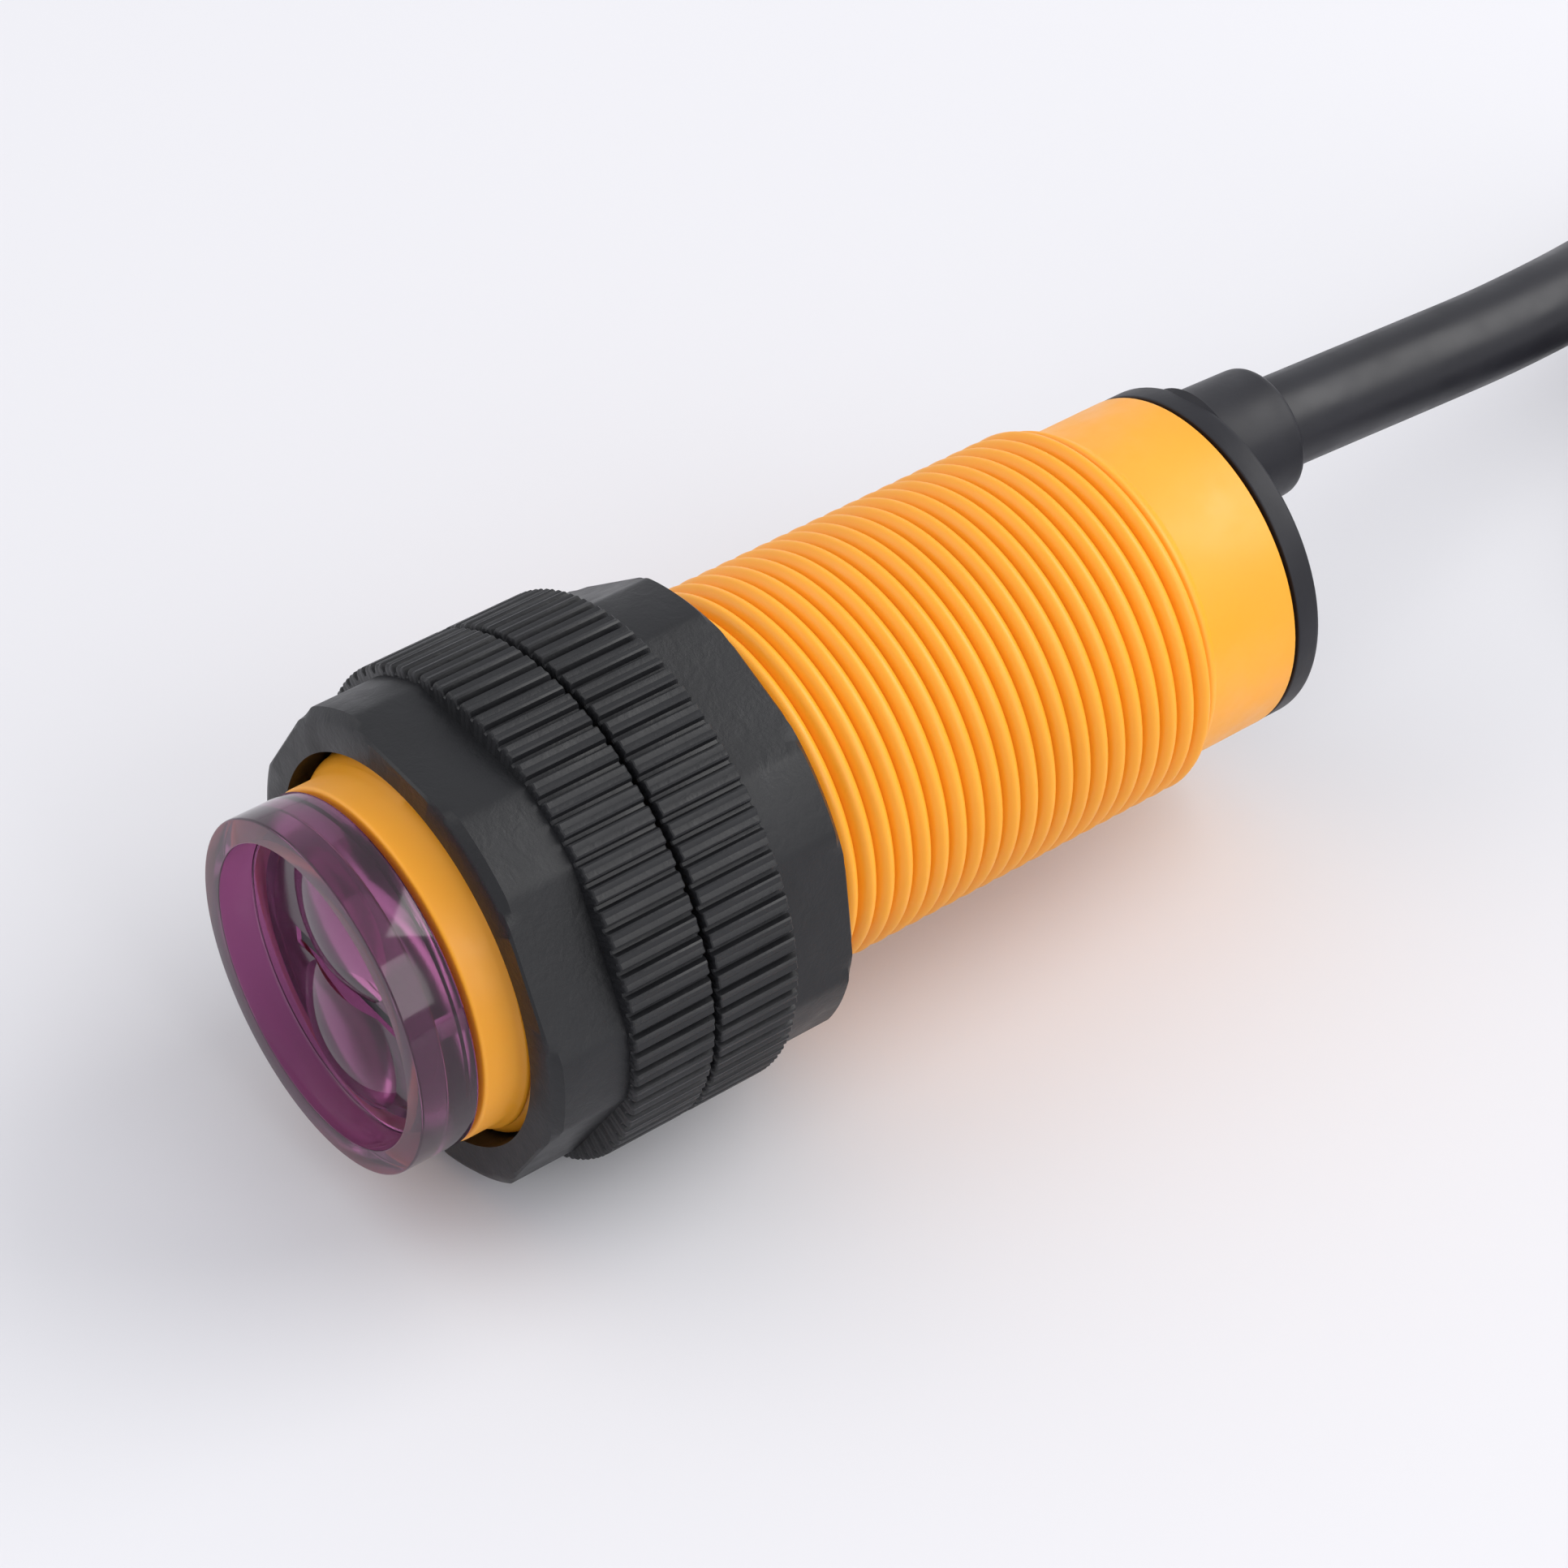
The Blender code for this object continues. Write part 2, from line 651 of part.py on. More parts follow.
def inner_leads():
    """The jacket's end inside the boss, and the three cores that run from it to the board."""
    jacket_front = BOSS_BORE_FLOOR + GAP
    jacket = [at(BOSS_X, jacket_front, BOSS_Z), at(BOSS_X, BOSS_END - 0.1 * MM, BOSS_Z)]
    tube("cable_jacket_end", jacket, CABLE_D / 2, PVC, resolution=3)
    pad_z = BOARD_THICKNESS / 2 + CONDUCTOR_D / 2 + 0.1 * MM
    cluster = 0.82 * MM
    for name, look, turn, pad_x in (
        ("supply_core", BROWN_PVC, -120, -4.2),
        ("output_core", PVC, 0, -1.0),
        ("ground_core", BLUE_PVC, 120, 3.6),
    ):
        x = CORE_HOLE_X + cluster * sin(radians(turn))
        z = CORE_HOLE_Z + cluster * cos(radians(turn))
        route = [
            at(x, jacket_front - GAP, z),
            at(x, 47.0 * MM, z),
            at(x, 44.6 * MM, z - 0.1 * MM),
            at((x + pad_x * MM) / 2, 41.6 * MM, (z + pad_z) / 2),
            at(pad_x * MM, 39.0 * MM, pad_z + 0.15 * MM),
            at(pad_x * MM, 36.6 * MM, pad_z),
        ]
        tube(name, smooth_line(route, 1.8 * MM), CONDUCTOR_D / 2, look)


# ------------------------------------------------------------------------------------------------------ nuts


def nut(name, front, hex_in_front, turn):
    """A barrel nut: a hexagon with cut corners and a round gripping flange, on a clear bore."""
    rear = front + NUT_HEIGHT
    hex_end = front if hex_in_front else rear
    inward = 1 if hex_in_front else -1
    flange_low = rear - NUT_FLANGE_HEIGHT if hex_in_front else front
    flange_high = flange_low + NUT_FLANGE_HEIGHT
    edge = 0.25 * MM
    body = turned(
        name,
        [
            (NUT_BORE_R, flange_high),
            (NUT_FLANGE_R - edge, flange_high),
            (NUT_FLANGE_R, flange_high - edge),
            (NUT_FLANGE_R, flange_low + edge),
            (NUT_FLANGE_R - edge, flange_low),
            (NUT_BORE_R, flange_low),
        ],
        BLACK,
        sides=48,
    )
    corner_r = NUT_FLAT_R / cos(NUT_FLAT_HALF_ANGLE)
    bm = bmesh.new()
    bmesh.ops.create_cone(
        bm, cap_ends=True, segments=12, radius1=corner_r, radius2=corner_r, depth=NUT_HEIGHT - 0.5 * MM
    )
    for vert in bm.verts:
        sextant, side = divmod(round(((Vector((0, 1)).angle_signed(vert.co.xy) % (2 * pi)) * 6) / pi), 2)
        angle = radians(60) * sextant + (2 * side - 1) * NUT_FLAT_HALF_ANGLE + turn
        vert.co = (corner_r * sin(angle), -vert.co.z, corner_r * cos(angle))
    bmesh.ops.recalc_face_normals(bm, faces=bm.faces)
    middle = (hex_end + inward * (NUT_HEIGHT - 0.5 * MM) / 2) - MID_STATION
    bmesh.ops.translate(bm, vec=(0, middle, AXIS_Z), verts=bm.verts)
    hexagon = add_object(name + "_hexagon_shape", mesh_from(bm, name + "_hexagon_shape"), cutter=True)
    cone = turned(
        name + "_corner_cone_shape",
        sorted(
            [
                (NUT_FLAT_R + 0.15 * MM, hex_end),
                (corner_r + 0.1 * MM, hex_end + inward * NUT_CHAMFER),
                (corner_r + 0.1 * MM, hex_end + inward * NUT_HEIGHT),
            ],
            key=lambda point: -point[1],
        )
        + sorted(
            [(NUT_BORE_R, hex_end), (NUT_BORE_R, hex_end + inward * NUT_HEIGHT)], key=lambda point: point[1]
        ),
        sides=48,
        cutter=True,
    )
    cut(cone, hexagon, "INTERSECT")
    cut(body, cone, "UNION")


# ----------------------------------------------------------------------------------------------------- cable


def coil_place(angle, radius, height):
    """A point of the coil: the angle runs clockwise from above, from the coil's -X side."""
    return Vector((COIL_X - radius * cos(angle), station(COIL_STATION) + radius * sin(angle), height))


def coil_radius(degrees):
    """The cable's distance from the coil's middle as it winds inwards over two turns and a tail."""
    steps = [
        (FIRST_ROW_LEAVES, FIRST_ROW_ENDS, COIL_OUTER_TURN_R, COIL_INNER_TURN_R),
        (SECOND_ROW_LEAVES, SECOND_ROW_ENDS, COIL_INNER_TURN_R, COIL_TAIL_R),
    ]
    radius = COIL_OUTER_TURN_R
    for start, end, outer, inner in steps:
        share = min(1.0, max(0.0, (degrees - start) / (end - start)))
        radius -= (outer - inner) * share * share * (3 - 2 * share)
    return radius


def free_cable():
    """The cable outside the boss: a laid stretch, a coil of two turns, and a tail that ends inside it.

    The jacket's end, its direction there and its angle round the coil are returned.
    """
    height = CABLE_LIFT + CABLE_D / 2
    laid = [at(x * MM, behind * MM, z * MM) for x, behind, z in CABLE_ROUTE]
    route = smooth_line(laid, 1.0 * MM)
    above_coil = height + CABLE_D + 2 * GAP
    shown = [at(BOSS_X, BOSS_END + GAP, BOSS_Z)]
    shown += [p for p in route if p.y >= shown[0].y + MM and p.z >= above_coil]
    tube("cable", smooth_line(shown, 2.2 * CABLE_D), CABLE_D / 2, PVC, resolution=3)

    half = CABLE_D / 2
    inner, outer = COIL_INNER_TURN_R - half, COIL_OUTER_TURN_R + half
    soft = 0.9 * MM
    coil = turned(
        "cable_coil",
        [
            (inner + soft, height + half),
            (outer - soft, height + half),
            (outer, height + half - soft),
            (outer, height - half + soft),
            (outer - soft, height - half),
            (inner + soft, height - half),
            (inner, height - half + soft),
            (inner, height + half - soft),
        ],
        PVC,
        sides=40,
        upright=True,
    )
    coil.location = (COIL_X, station(COIL_STATION), 0)

    angles = range(COIL_START, SECOND_ROW_ENDS + 1, 3)
    turns = [coil_place(radians(a), coil_radius(a), height) for a in angles]
    wound = line_length(route + turns)
    tail_sweep = (CABLE_LENGTH - wound) / COIL_TAIL_R
    tail_start = radians(SECOND_ROW_ENDS)
    steps = round(tail_sweep * COIL_TAIL_R / (1.3 * CABLE_D))
    tail = [coil_place(tail_start + tail_sweep * k / steps, COIL_TAIL_R, height) for k in range(steps + 1)]
    tube("cable_tail", tail, CABLE_D / 2, PVC, resolution=3)
    return tail[-1], (tail[-1] - tail[-2]).normalized(), tail_start + tail_sweep


def cable_tie():
    """The tie round the coil's three rows."""
    low, high = COIL_TAIL_R - CABLE_D / 2 - 0.5 * MM, COIL_OUTER_TURN_R + CABLE_D / 2 + 0.3 * MM
    thick, width = 0.4 * MM, 2.6 * MM
    hole_top = CABLE_LIFT + CABLE_D + 0.2 * MM
    tie = block("cable_tie", (low - thick, -width / 2, 0), (high + thick, width / 2, hole_top + thick), BLACK)
    hole = block("tie_hole_shape", (low, -width, thick), (high, width, hole_top), cutter=True)
    turn = Matrix.Rotation(radians(TIE_ANGLE), 4, "Z")
    centre = Matrix.Translation((COIL_X, station(COIL_STATION), 0))
    for item in (tie, hole):
        item.matrix_world = centre @ turn @ Matrix.Translation(item.location)
    cut(tie, hole)


def core_line(jacket_end, ahead, start_angle):
    """The middle core's line from the jacket's end, round the inside of the coil, to the connector."""
    floor = CONDUCTOR_D / 2 + CONDUCTOR_LIFT
    points = [jacket_end + ahead * 2 * GAP, jacket_end + ahead * 2.2 * MM]
    end_angle = radians(CORES_END_ANGLE)
    for k in range(2, 11):
        share = k / 10
        inwards = min(1.0, 2.3 * share)
        radius = COIL_TAIL_R + (CORES_R - COIL_TAIL_R) * inwards * inwards * (3 - 2 * inwards)
        height = jacket_end.z + (floor - jacket_end.z) * min(1.0, 2 * share)
        points.append(coil_place(start_angle + (end_angle - start_angle) * share, radius, height))
    middle = Vector((COIL_X, station(COIL_STATION), 0))
    for x, y, z in ((0.4, 12.7, 0.65), (4.6, 10.4, 0.82), (6.5, 7.0, 1.15), (6.5, 4.5, 1.25)):
        points.append(middle + Vector((x, y, z)) * MM)
    return smooth_line(points, 2.6 * MM)


def core_beside(line, lane):
    """A line beside another one, lane steps to its left, that spreads towards its end."""
    beside = []
    for index, point in enumerate(line):
        along = line[min(index + 1, len(line) - 1)] - line[max(index - 1, 0)]
        left = Vector((-along.y, along.x, 0)).normalized()
        late = max(0.0, 2 * index / (len(line) - 1) - 1)
        apart = CORE_SPACING + (CONNECTOR_PITCH - CORE_SPACING) * late * late * (3 - 2 * late)
        beside.append(point + left * apart * lane)
    return beside


def connector(jacket_end, ahead, start_angle):
    """The three cores of the far end, and the three-way socket housing with its crimp contacts."""
    rear = station(COIL_STATION) + 5.5 * MM
    middle_x = COIL_X + 6.5 * MM
    body = block(
        "connector_housing",
        (middle_x - CONNECTOR_WIDTH / 2, rear - CONNECTOR_LENGTH, 0),
        (middle_x + CONNECTOR_WIDTH / 2, rear, CONNECTOR_HEIGHT),
        BLACK,
        0.12 * MM,
    )
    middle_z = CONNECTOR_HEIGHT / 2
    line = core_line(jacket_end, ahead, start_angle)
    cores = (
        ("supply_conductor", BROWN_PVC, -1),
        ("output_conductor", PVC, 0),
        ("ground_conductor", BLUE_PVC, 1),
    )
    for name, look, lane in cores:
        x = middle_x + lane * CONNECTOR_PITCH
        half = 0.85 * MM
        cell = block(
            f"cell_shape_{lane + 1}",
            (x - half, rear - 15.5 * MM, middle_z - half),
            (x + half, rear + MM, middle_z + half),
            cutter=True,
        )
        cut(body, cell)
        pin = 0.55 * MM
        block(
            f"{name}_contact",
            (x - pin, rear - 12.5 * MM, middle_z - pin),
            (x + pin, rear - 1.4 * MM, middle_z + pin),
            TINNED,
            0.1 * MM,
        )
        tube(name, core_beside(line, lane), CONDUCTOR_D / 2, look)


def main():
    barrel()
    lens_cap()
    optics_holder()
    diode("emitter_diode", EPOXY_CLEAR, 1)
    diode("receiver_diode", EPOXY_DARK, -1)
    electronics()
    trimmer()
    indicator()
    rear_cap()
    inner_leads()
    nut("front_nut", FRONT_NUT_STATION, True, FRONT_NUT_TURN)
    nut("rear_nut", REAR_NUT_STATION, False, REAR_NUT_TURN)
    jacket_end, ahead, end_angle = free_cable()
    cable_tie()
    connector(jacket_end, ahead, end_angle)


main()
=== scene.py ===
import json
from math import asin, atan2, cos, pi, radians, sin

import bmesh
import bpy
from bpy.props import FloatProperty, FloatVectorProperty, IntProperty, PointerProperty
from bpy.types import Operator, Panel, PropertyGroup
from mathutils import Matrix, Vector


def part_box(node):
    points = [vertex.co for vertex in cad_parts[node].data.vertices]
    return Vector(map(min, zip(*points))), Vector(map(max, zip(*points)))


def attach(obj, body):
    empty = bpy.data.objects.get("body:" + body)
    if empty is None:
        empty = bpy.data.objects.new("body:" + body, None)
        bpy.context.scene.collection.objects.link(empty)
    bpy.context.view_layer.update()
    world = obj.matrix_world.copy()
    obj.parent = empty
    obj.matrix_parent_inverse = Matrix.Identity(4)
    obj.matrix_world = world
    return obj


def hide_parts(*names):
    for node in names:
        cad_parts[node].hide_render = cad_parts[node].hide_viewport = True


bl_info = {
    "name": "Photoelectric Sensor Finish",
    "version": (1, 0, 0),
    "blender": (4, 5, 0),
    "location": "3D View > Sidebar > Sensor",
    "description": "Builds a barrel sensor's mouldings, cable and finishes on its CAD frame",
    "category": "Object",
}

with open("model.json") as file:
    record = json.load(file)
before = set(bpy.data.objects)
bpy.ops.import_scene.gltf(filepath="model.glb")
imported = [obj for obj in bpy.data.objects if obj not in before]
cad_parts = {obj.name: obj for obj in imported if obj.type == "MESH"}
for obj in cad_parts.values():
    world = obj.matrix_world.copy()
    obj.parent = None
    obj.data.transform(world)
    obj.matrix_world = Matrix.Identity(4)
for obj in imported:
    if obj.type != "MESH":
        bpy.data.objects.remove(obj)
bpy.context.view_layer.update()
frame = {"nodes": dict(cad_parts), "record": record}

MM = 0.001
HOUSING = "housing"
COLLECTION_NAME = "photoelectric_sensor"

# The camera: its focal length in millimetres, its place and its turn in degrees
CAMERA_LENS = 110.3
CAMERA_PLACE = (0.1269, -0.09935, 0.14997)
CAMERA_TURN = (48.87, 0.0, 52.45)

# Places that every piece is measured from
AXIS_Z = (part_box("barrel")[0].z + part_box("barrel")[1].z) / 2
RIM_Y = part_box("lens_cap")[0].y
BARREL_FRONT_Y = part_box("barrel")[0].y
BARREL_REAR_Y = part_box("barrel")[1].y
CAP_BACK_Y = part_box("rear_cap")[1].y
SCREW_LOW, SCREW_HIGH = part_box("trimmer_screw")
INDICATOR_LOW, INDICATOR_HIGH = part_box("indicator_led")
COIL_LOW, COIL_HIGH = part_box("cable_coil")
COIL_CENTRE = (COIL_LOW + COIL_HIGH) / 2
CONNECTOR_LOW, CONNECTOR_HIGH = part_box("connector_housing")


# ------------------------------------------------------------------------------------------------- settings


def millimetres(name, description, value):
    """A length property whose default is given in millimetres."""
    return FloatProperty(
        name=name, description=description, default=value * MM, unit="LENGTH", precision=5, min=0.0
    )


def paint(name, description, color):
    """A colour property."""
    return FloatVectorProperty(
        name=name, description=description, default=color, subtype="COLOR", size=3, min=0.0, max=1.0
    )


class BarrelSettings(PropertyGroup):
    crest: millimetres("Crest Radius", "Radius over the thread's crests", 9.0)
    root: millimetres("Root Radius", "Radius at the thread's roots", 8.42)
    smooth: millimetres("Smooth Radius", "Radius of the unthreaded ends", 8.22)
    pitch: millimetres("Pitch", "Distance from crest to crest", 1.0)
    thread_start: millimetres("Thread Start", "Where the thread starts, behind the lens rim", 5.0)
    thread_end: millimetres("Thread End", "Where the thread ends, behind the lens rim", 42.7)
    bore: millimetres("Bore Radius", "Radius of the hollow inside", 6.9)
    steps: IntProperty(name="Steps", description="Facets round the barrel", default=120, min=24)


class NutSettings(PropertyGroup):
    flange: millimetres("Flange Radius", "Radius over the knurl's crests", 11.57)
    flange_height: millimetres("Flange Height", "Width of the knurled flange", 4.1)
    knurl_depth: millimetres("Knurl Depth", "Depth of a groove of the knurl", 0.32)
    knurl_count: IntProperty(name="Knurl Count", description="Ridges round the flange", default=72, min=12)
    flat: millimetres("Flat Radius", "Distance from the axis to a flat of the hexagon", 10.38)
    corner: millimetres("Corner Radius", "Radius at the hexagon's rounded-off corners", 11.05)
    bore: millimetres("Bore Radius", "Radius at the crests of the inner thread", 9.15)
    front_turn: FloatProperty(
        name="Front Turn",
        description="Turn of the front nut's flats",
        default=radians(2.5),
        subtype="ANGLE",
    )
    rear_turn: FloatProperty(
        name="Rear Turn",
        description="Turn of the rear nut's flats",
        default=radians(22.5),
        subtype="ANGLE",
    )


class LensSettings(PropertyGroup):
    outer: millimetres("Outer Radius", "Outside radius of the lens cap", 8.2)
    rim: millimetres("Rim Radius", "Inner radius of the rim", 7.05)
    recess: millimetres("Recess Depth", "Depth of the recess behind the rim", 1.7)
    back: millimetres("Plate Depth", "Distance from the rim to the plate's back", 2.8)
    dome: millimetres("Dome Radius", "Radius of each lens", 3.5)
    rise: millimetres("Dome Rise", "Height of each lens above the recess floor", 0.95)
    offset: millimetres("Dome Offset", "Distance of each lens from the axis", 3.1)
    slot_width: millimetres("Slot Width", "Width of the slot between the lenses", 0.9)
    slot_length: millimetres("Slot Length", "Length of the slot between the lenses", 7.4)


class RearSettings(PropertyGroup):
    radius: millimetres("Cap Radius", "Radius of the rear cap", 8.2)
    plug: millimetres("Plug Radius", "Radius of the part inside the barrel", 6.6)
    plug_start: millimetres("Plug Start", "Where the plug starts, behind the lens rim", 45.0)
    face: millimetres("Rear Face", "Where the cap's rear face is, behind the lens rim", 49.2)
    boss_side: FloatProperty(name="Boss Side", description="Boss centre, sideways", default=-0.8 * MM)
    boss_up: FloatProperty(name="Boss Height", description="Boss centre, upwards", default=4.68 * MM)
    boss_base: millimetres("Boss Base", "Boss radius at the cap", 3.3)
    boss_end: millimetres("Boss End", "Boss radius at its end", 3.15)
    boss_bore: millimetres("Boss Bore", "Radius of the hole for the cable", 2.45)


class CableSettings(PropertyGroup):
    diameter: millimetres("Cable Diameter", "Outside diameter of the jacket", 4.5)
    length: millimetres("Cable Length", "Length of the jacketed cable", 450.0)
    core: millimetres("Core Diameter", "Diameter of an insulated core", 1.2)
    core_spacing: millimetres("Core Spacing", "Distance between the cores in the jacket", 1.35)
    contact_pitch: millimetres("Contact Pitch", "Distance between the contacts", 2.54)
    lift: millimetres("Coil Lift", "Height of the coil's underside above the surface", 0.6)
    outer_turn: millimetres("Outer Turn", "Radius of the coil's outer turn", 27.0)
    inner_turn: millimetres("Inner Turn", "Radius of the coil's inner turn", 22.45)
    tail_turn: millimetres("Tail Turn", "Radius of the coil's last, short turn", 17.8)
    cores_turn: millimetres("Cores Turn", "Radius at which the cores lie inside the coil", 12.8)


class FinishSettings(PropertyGroup):
    orange: paint("Barrel", "Colour of the barrel", (0.86, 0.352, 0.014))
    black: paint("Nuts", "Colour of the nuts", (0.0095, 0.0098, 0.0115))
    cap_black: paint("Rear Cap", "Colour of the rear cap", (0.014, 0.014, 0.018))
    purple: paint("Lens Cap", "Tint of the lens cap", (0.33, 0.095, 0.235))
    jacket: paint("Cable", "Colour of the cable's jacket", (0.011, 0.011, 0.015))
    floor: paint("Floor", "Colour of the floor", (0.690, 0.688, 0.715))


# -------------------------------------------------------------------------------------------------- helpers


def behind(distance):
    """The Y of a place that far behind the lens rim."""
    return RIM_Y + distance


def settings():
    """The sensor's settings in this scene."""
    return bpy.context.scene.sensor_settings


def gather(piece):
    """Puts a new object in the sensor's collection."""
    collection = bpy.data.collections.get(COLLECTION_NAME)
    if collection is None:
        collection = bpy.data.collections.new(COLLECTION_NAME)
        bpy.context.scene.collection.children.link(collection)
    collection.objects.link(piece)
    return piece


def piece_from(bm, name, finish, body, replaced, sharp=30):
    """Makes a finished piece of a bmesh, smooth except where its faces meet sharply."""
    bmesh.ops.remove_doubles(bm, verts=bm.verts, dist=0.000002)
    bmesh.ops.dissolve_degenerate(bm, edges=bm.edges, dist=0.0000005)
    bmesh.ops.recalc_face_normals(bm, faces=bm.faces)
    mesh = bpy.data.meshes.new(name)
    bm.to_mesh(mesh)
    bm.free()
    mesh.shade_smooth()
    mesh.set_sharp_from_angle(angle=radians(sharp))
    mesh.materials.append(finish)
    piece = gather(bpy.data.objects.new(name, mesh))
    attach(piece, body)
    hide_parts(*replaced)
    return piece


def spin(bm, outline, steps, closed=True, x=0.0, z=0.0, advance=0.0):
    """Spins an outline of (radius, distance behind the rim) round a line parallel to the barrel's axis.

    advance moves the outline backwards by that much over the full turn.
    """
    points = [bm.verts.new((x, behind(place), AXIS_Z + z + radius)) for radius, place in outline]
    pairs = list(zip(points, points[1:])) + ([(points[-1], points[0])] if closed else [])
    edges = [bm.edges.new(pair) for pair in pairs]
    bmesh.ops.spin(
        bm,
        geom=points + edges,
        cent=(x, 0, AXIS_Z + z),
        axis=(0, 1, 0),
        dvec=(0, advance / steps, 0),
        angle=2 * pi,
        steps=steps,
        use_merge=advance == 0,
        use_normal_flip=False,
        use_duplicate=False,
    )


def rounded(corner, before, after, radius, steps=4):
    """Points of a small arc in place of an outline's corner."""
    corner, before, after = Vector(corner), Vector(before), Vector(after)
    start = corner + (before - corner).normalized() * radius
    end = corner + (after - corner).normalized() * radius
    shares = [k / steps for k in range(steps + 1)]
    return [tuple(start.lerp(corner, t).lerp(corner.lerp(end, t), t)) for t in shares]


def box_into(bm, low, high, round_by=0.0, segments=2):
    """Adds a box with rounded edges to a bmesh."""
    low, high = Vector(low), Vector(high)
    made = bmesh.ops.create_cube(bm, size=1.0)["verts"]
    bmesh.ops.scale(bm, vec=high - low, verts=made)
    bmesh.ops.translate(bm, vec=(low + high) / 2, verts=made)
    if round_by:
        edges = list({edge for vert in made for edge in vert.link_edges})
        bmesh.ops.bevel(
            bm,
            geom=edges,
            offset=round_by,
            offset_type="OFFSET",
            segments=segments,
            profile=0.5,
            affect="EDGES",
            material=-1,
        )


def combined(base, tools):
    """The mesh of a bmesh after joining and cutting other bmeshes, as (bmesh, operation) pairs."""
    scratch = []
    for number, bm in enumerate([base] + [tool for tool, _ in tools]):
        bmesh.ops.remove_doubles(bm, verts=bm.verts, dist=0.000002)
        bmesh.ops.recalc_face_normals(bm, faces=bm.faces)
        mesh = bpy.data.meshes.new(f"scratch_{number}")
        bm.to_mesh(mesh)
        bm.free()
        scratch.append(bpy.data.objects.new(mesh.name, mesh))
        bpy.context.scene.collection.objects.link(scratch[-1])
    for item, (_, operation) in zip(scratch[1:], tools):
        step = scratch[0].modifiers.new(operation, "BOOLEAN")
        step.operation = operation
        step.solver = "EXACT"
        step.object = item
    bpy.context.view_layer.update()
    evaluated = scratch[0].evaluated_get(bpy.context.evaluated_depsgraph_get())
    made = bmesh.new()
    made.from_mesh(evaluated.to_mesh())
    for item in scratch:
        bpy.data.objects.remove(item)
    return made


# ------------------------------------------------------------------------------------------------- finishes


def new_material(name, roughness, metallic=0.0):
    """A material with its Principled shader and its object coordinates."""
    made = bpy.data.materials.new(name)
    made.use_nodes = True
    nodes = made.node_tree.nodes
    shader = nodes["Principled BSDF"]
    shader.inputs["Roughness"].default_value = roughness
    shader.inputs["Metallic"].default_value = metallic
    place = nodes.new("ShaderNodeTexCoord")
    return made, shader, place.outputs["Object"]


def noise(made, where, scale, detail=4.0, rough=0.5, distortion=0.0):
    """A noise pattern over the object's coordinates."""
    node = made.node_tree.nodes.new("ShaderNodeTexNoise")
    node.inputs["Scale"].default_value = scale
    node.inputs["Detail"].default_value = detail
    node.inputs["Roughness"].default_value = rough
    node.inputs["Distortion"].default_value = distortion
    made.node_tree.links.new(where, node.inputs["Vector"])
    return node.outputs["Fac"]


def ramp(made, value, stops):
    """A colour ramp with (position, colour) stops."""
    node = made.node_tree.nodes.new("ShaderNodeValToRGB")
    elements = node.color_ramp.elements
    while len(elements) < len(stops):
        elements.new(0.5)
    for element, (position, color) in zip(elements, stops):
        element.position = position
        element.color = (*color, 1.0)
    made.node_tree.links.new(value, node.inputs["Fac"])
    return node.outputs["Color"]


def spread(made, value, low, high):
    """Maps a texture's middle range on to a range of values."""
    node = made.node_tree.nodes.new("ShaderNodeMapRange")
    node.inputs["From Min"].default_value = 0.3
    node.inputs["From Max"].default_value = 0.7
    node.inputs["To Min"].default_value = low
    node.inputs["To Max"].default_value = high
    made.node_tree.links.new(value, node.inputs["Value"])
    return node.outputs["Result"]


def bump(made, shader, height, strength, distance, under=None):
    """Raises the shader's surface by a pattern, over an earlier bump if one is given."""
    node = made.node_tree.nodes.new("ShaderNodeBump")
    node.inputs["Strength"].default_value = strength
    node.inputs["Distance"].default_value = distance
    made.node_tree.links.new(height, node.inputs["Height"])
    if under is not None:
        made.node_tree.links.new(under, node.inputs["Normal"])
    made.node_tree.links.new(node.outputs["Normal"], shader.inputs["Normal"])
    return node.outputs["Normal"]


def varied(made, shader, where, color, scale, amount):
    """A base colour that drifts a little lighter and darker."""
    darker = tuple(c * (1 - amount) for c in color)
    lighter = tuple(min(1.0, c * (1 + amount)) for c in color)
    mix = ramp(made, noise(made, where, scale, 3.0), [(0.35, darker), (0.65, lighter)])
    made.node_tree.links.new(mix, shader.inputs["Base Color"])


def orange_abs():
    """Satin moulded plastic with a faint flow pattern."""
    made, shader, where = new_material("orange_abs", 0.42)
    varied(made, shader, where, settings().finish.orange, 90.0, 0.035)
    rough = spread(made, noise(made, where, 700.0), 0.36, 0.5)
    made.node_tree.links.new(rough, shader.inputs["Roughness"])
    shader.inputs["Subsurface Weight"].default_value = 0.12
    shader.inputs["Subsurface Radius"].default_value = (1.0, 0.35, 0.08)
    shader.inputs["Subsurface Scale"].default_value = 0.0008
    shader.inputs["IOR"].default_value = 1.5
    bump(made, shader, noise(made, where, 2600.0, 3.0), 0.12, 0.00003)
    return made


def moulded_black(name, color, grain, strength, low, high, shine=0.35):
    """Black moulded plastic: a spark-eroded grain, with softer patches of gloss."""
    made, shader, where = new_material(name, (low + high) / 2)
    varied(made, shader, where, color, 260.0, 0.12)
    rough = spread(made, noise(made, where, 420.0, 5.0), low, high)
    made.node_tree.links.new(rough, shader.inputs["Roughness"])
    shader.inputs["IOR"].default_value = 1.5
    shader.inputs["Specular IOR Level"].default_value = shine
    coarse = bump(made, shader, noise(made, where, grain * 0.3, 3.0, 0.6, 0.6), strength, 0.00008)
    bump(made, shader, noise(made, where, grain, 5.0, 0.65), strength, 0.00004, coarse)
    return made


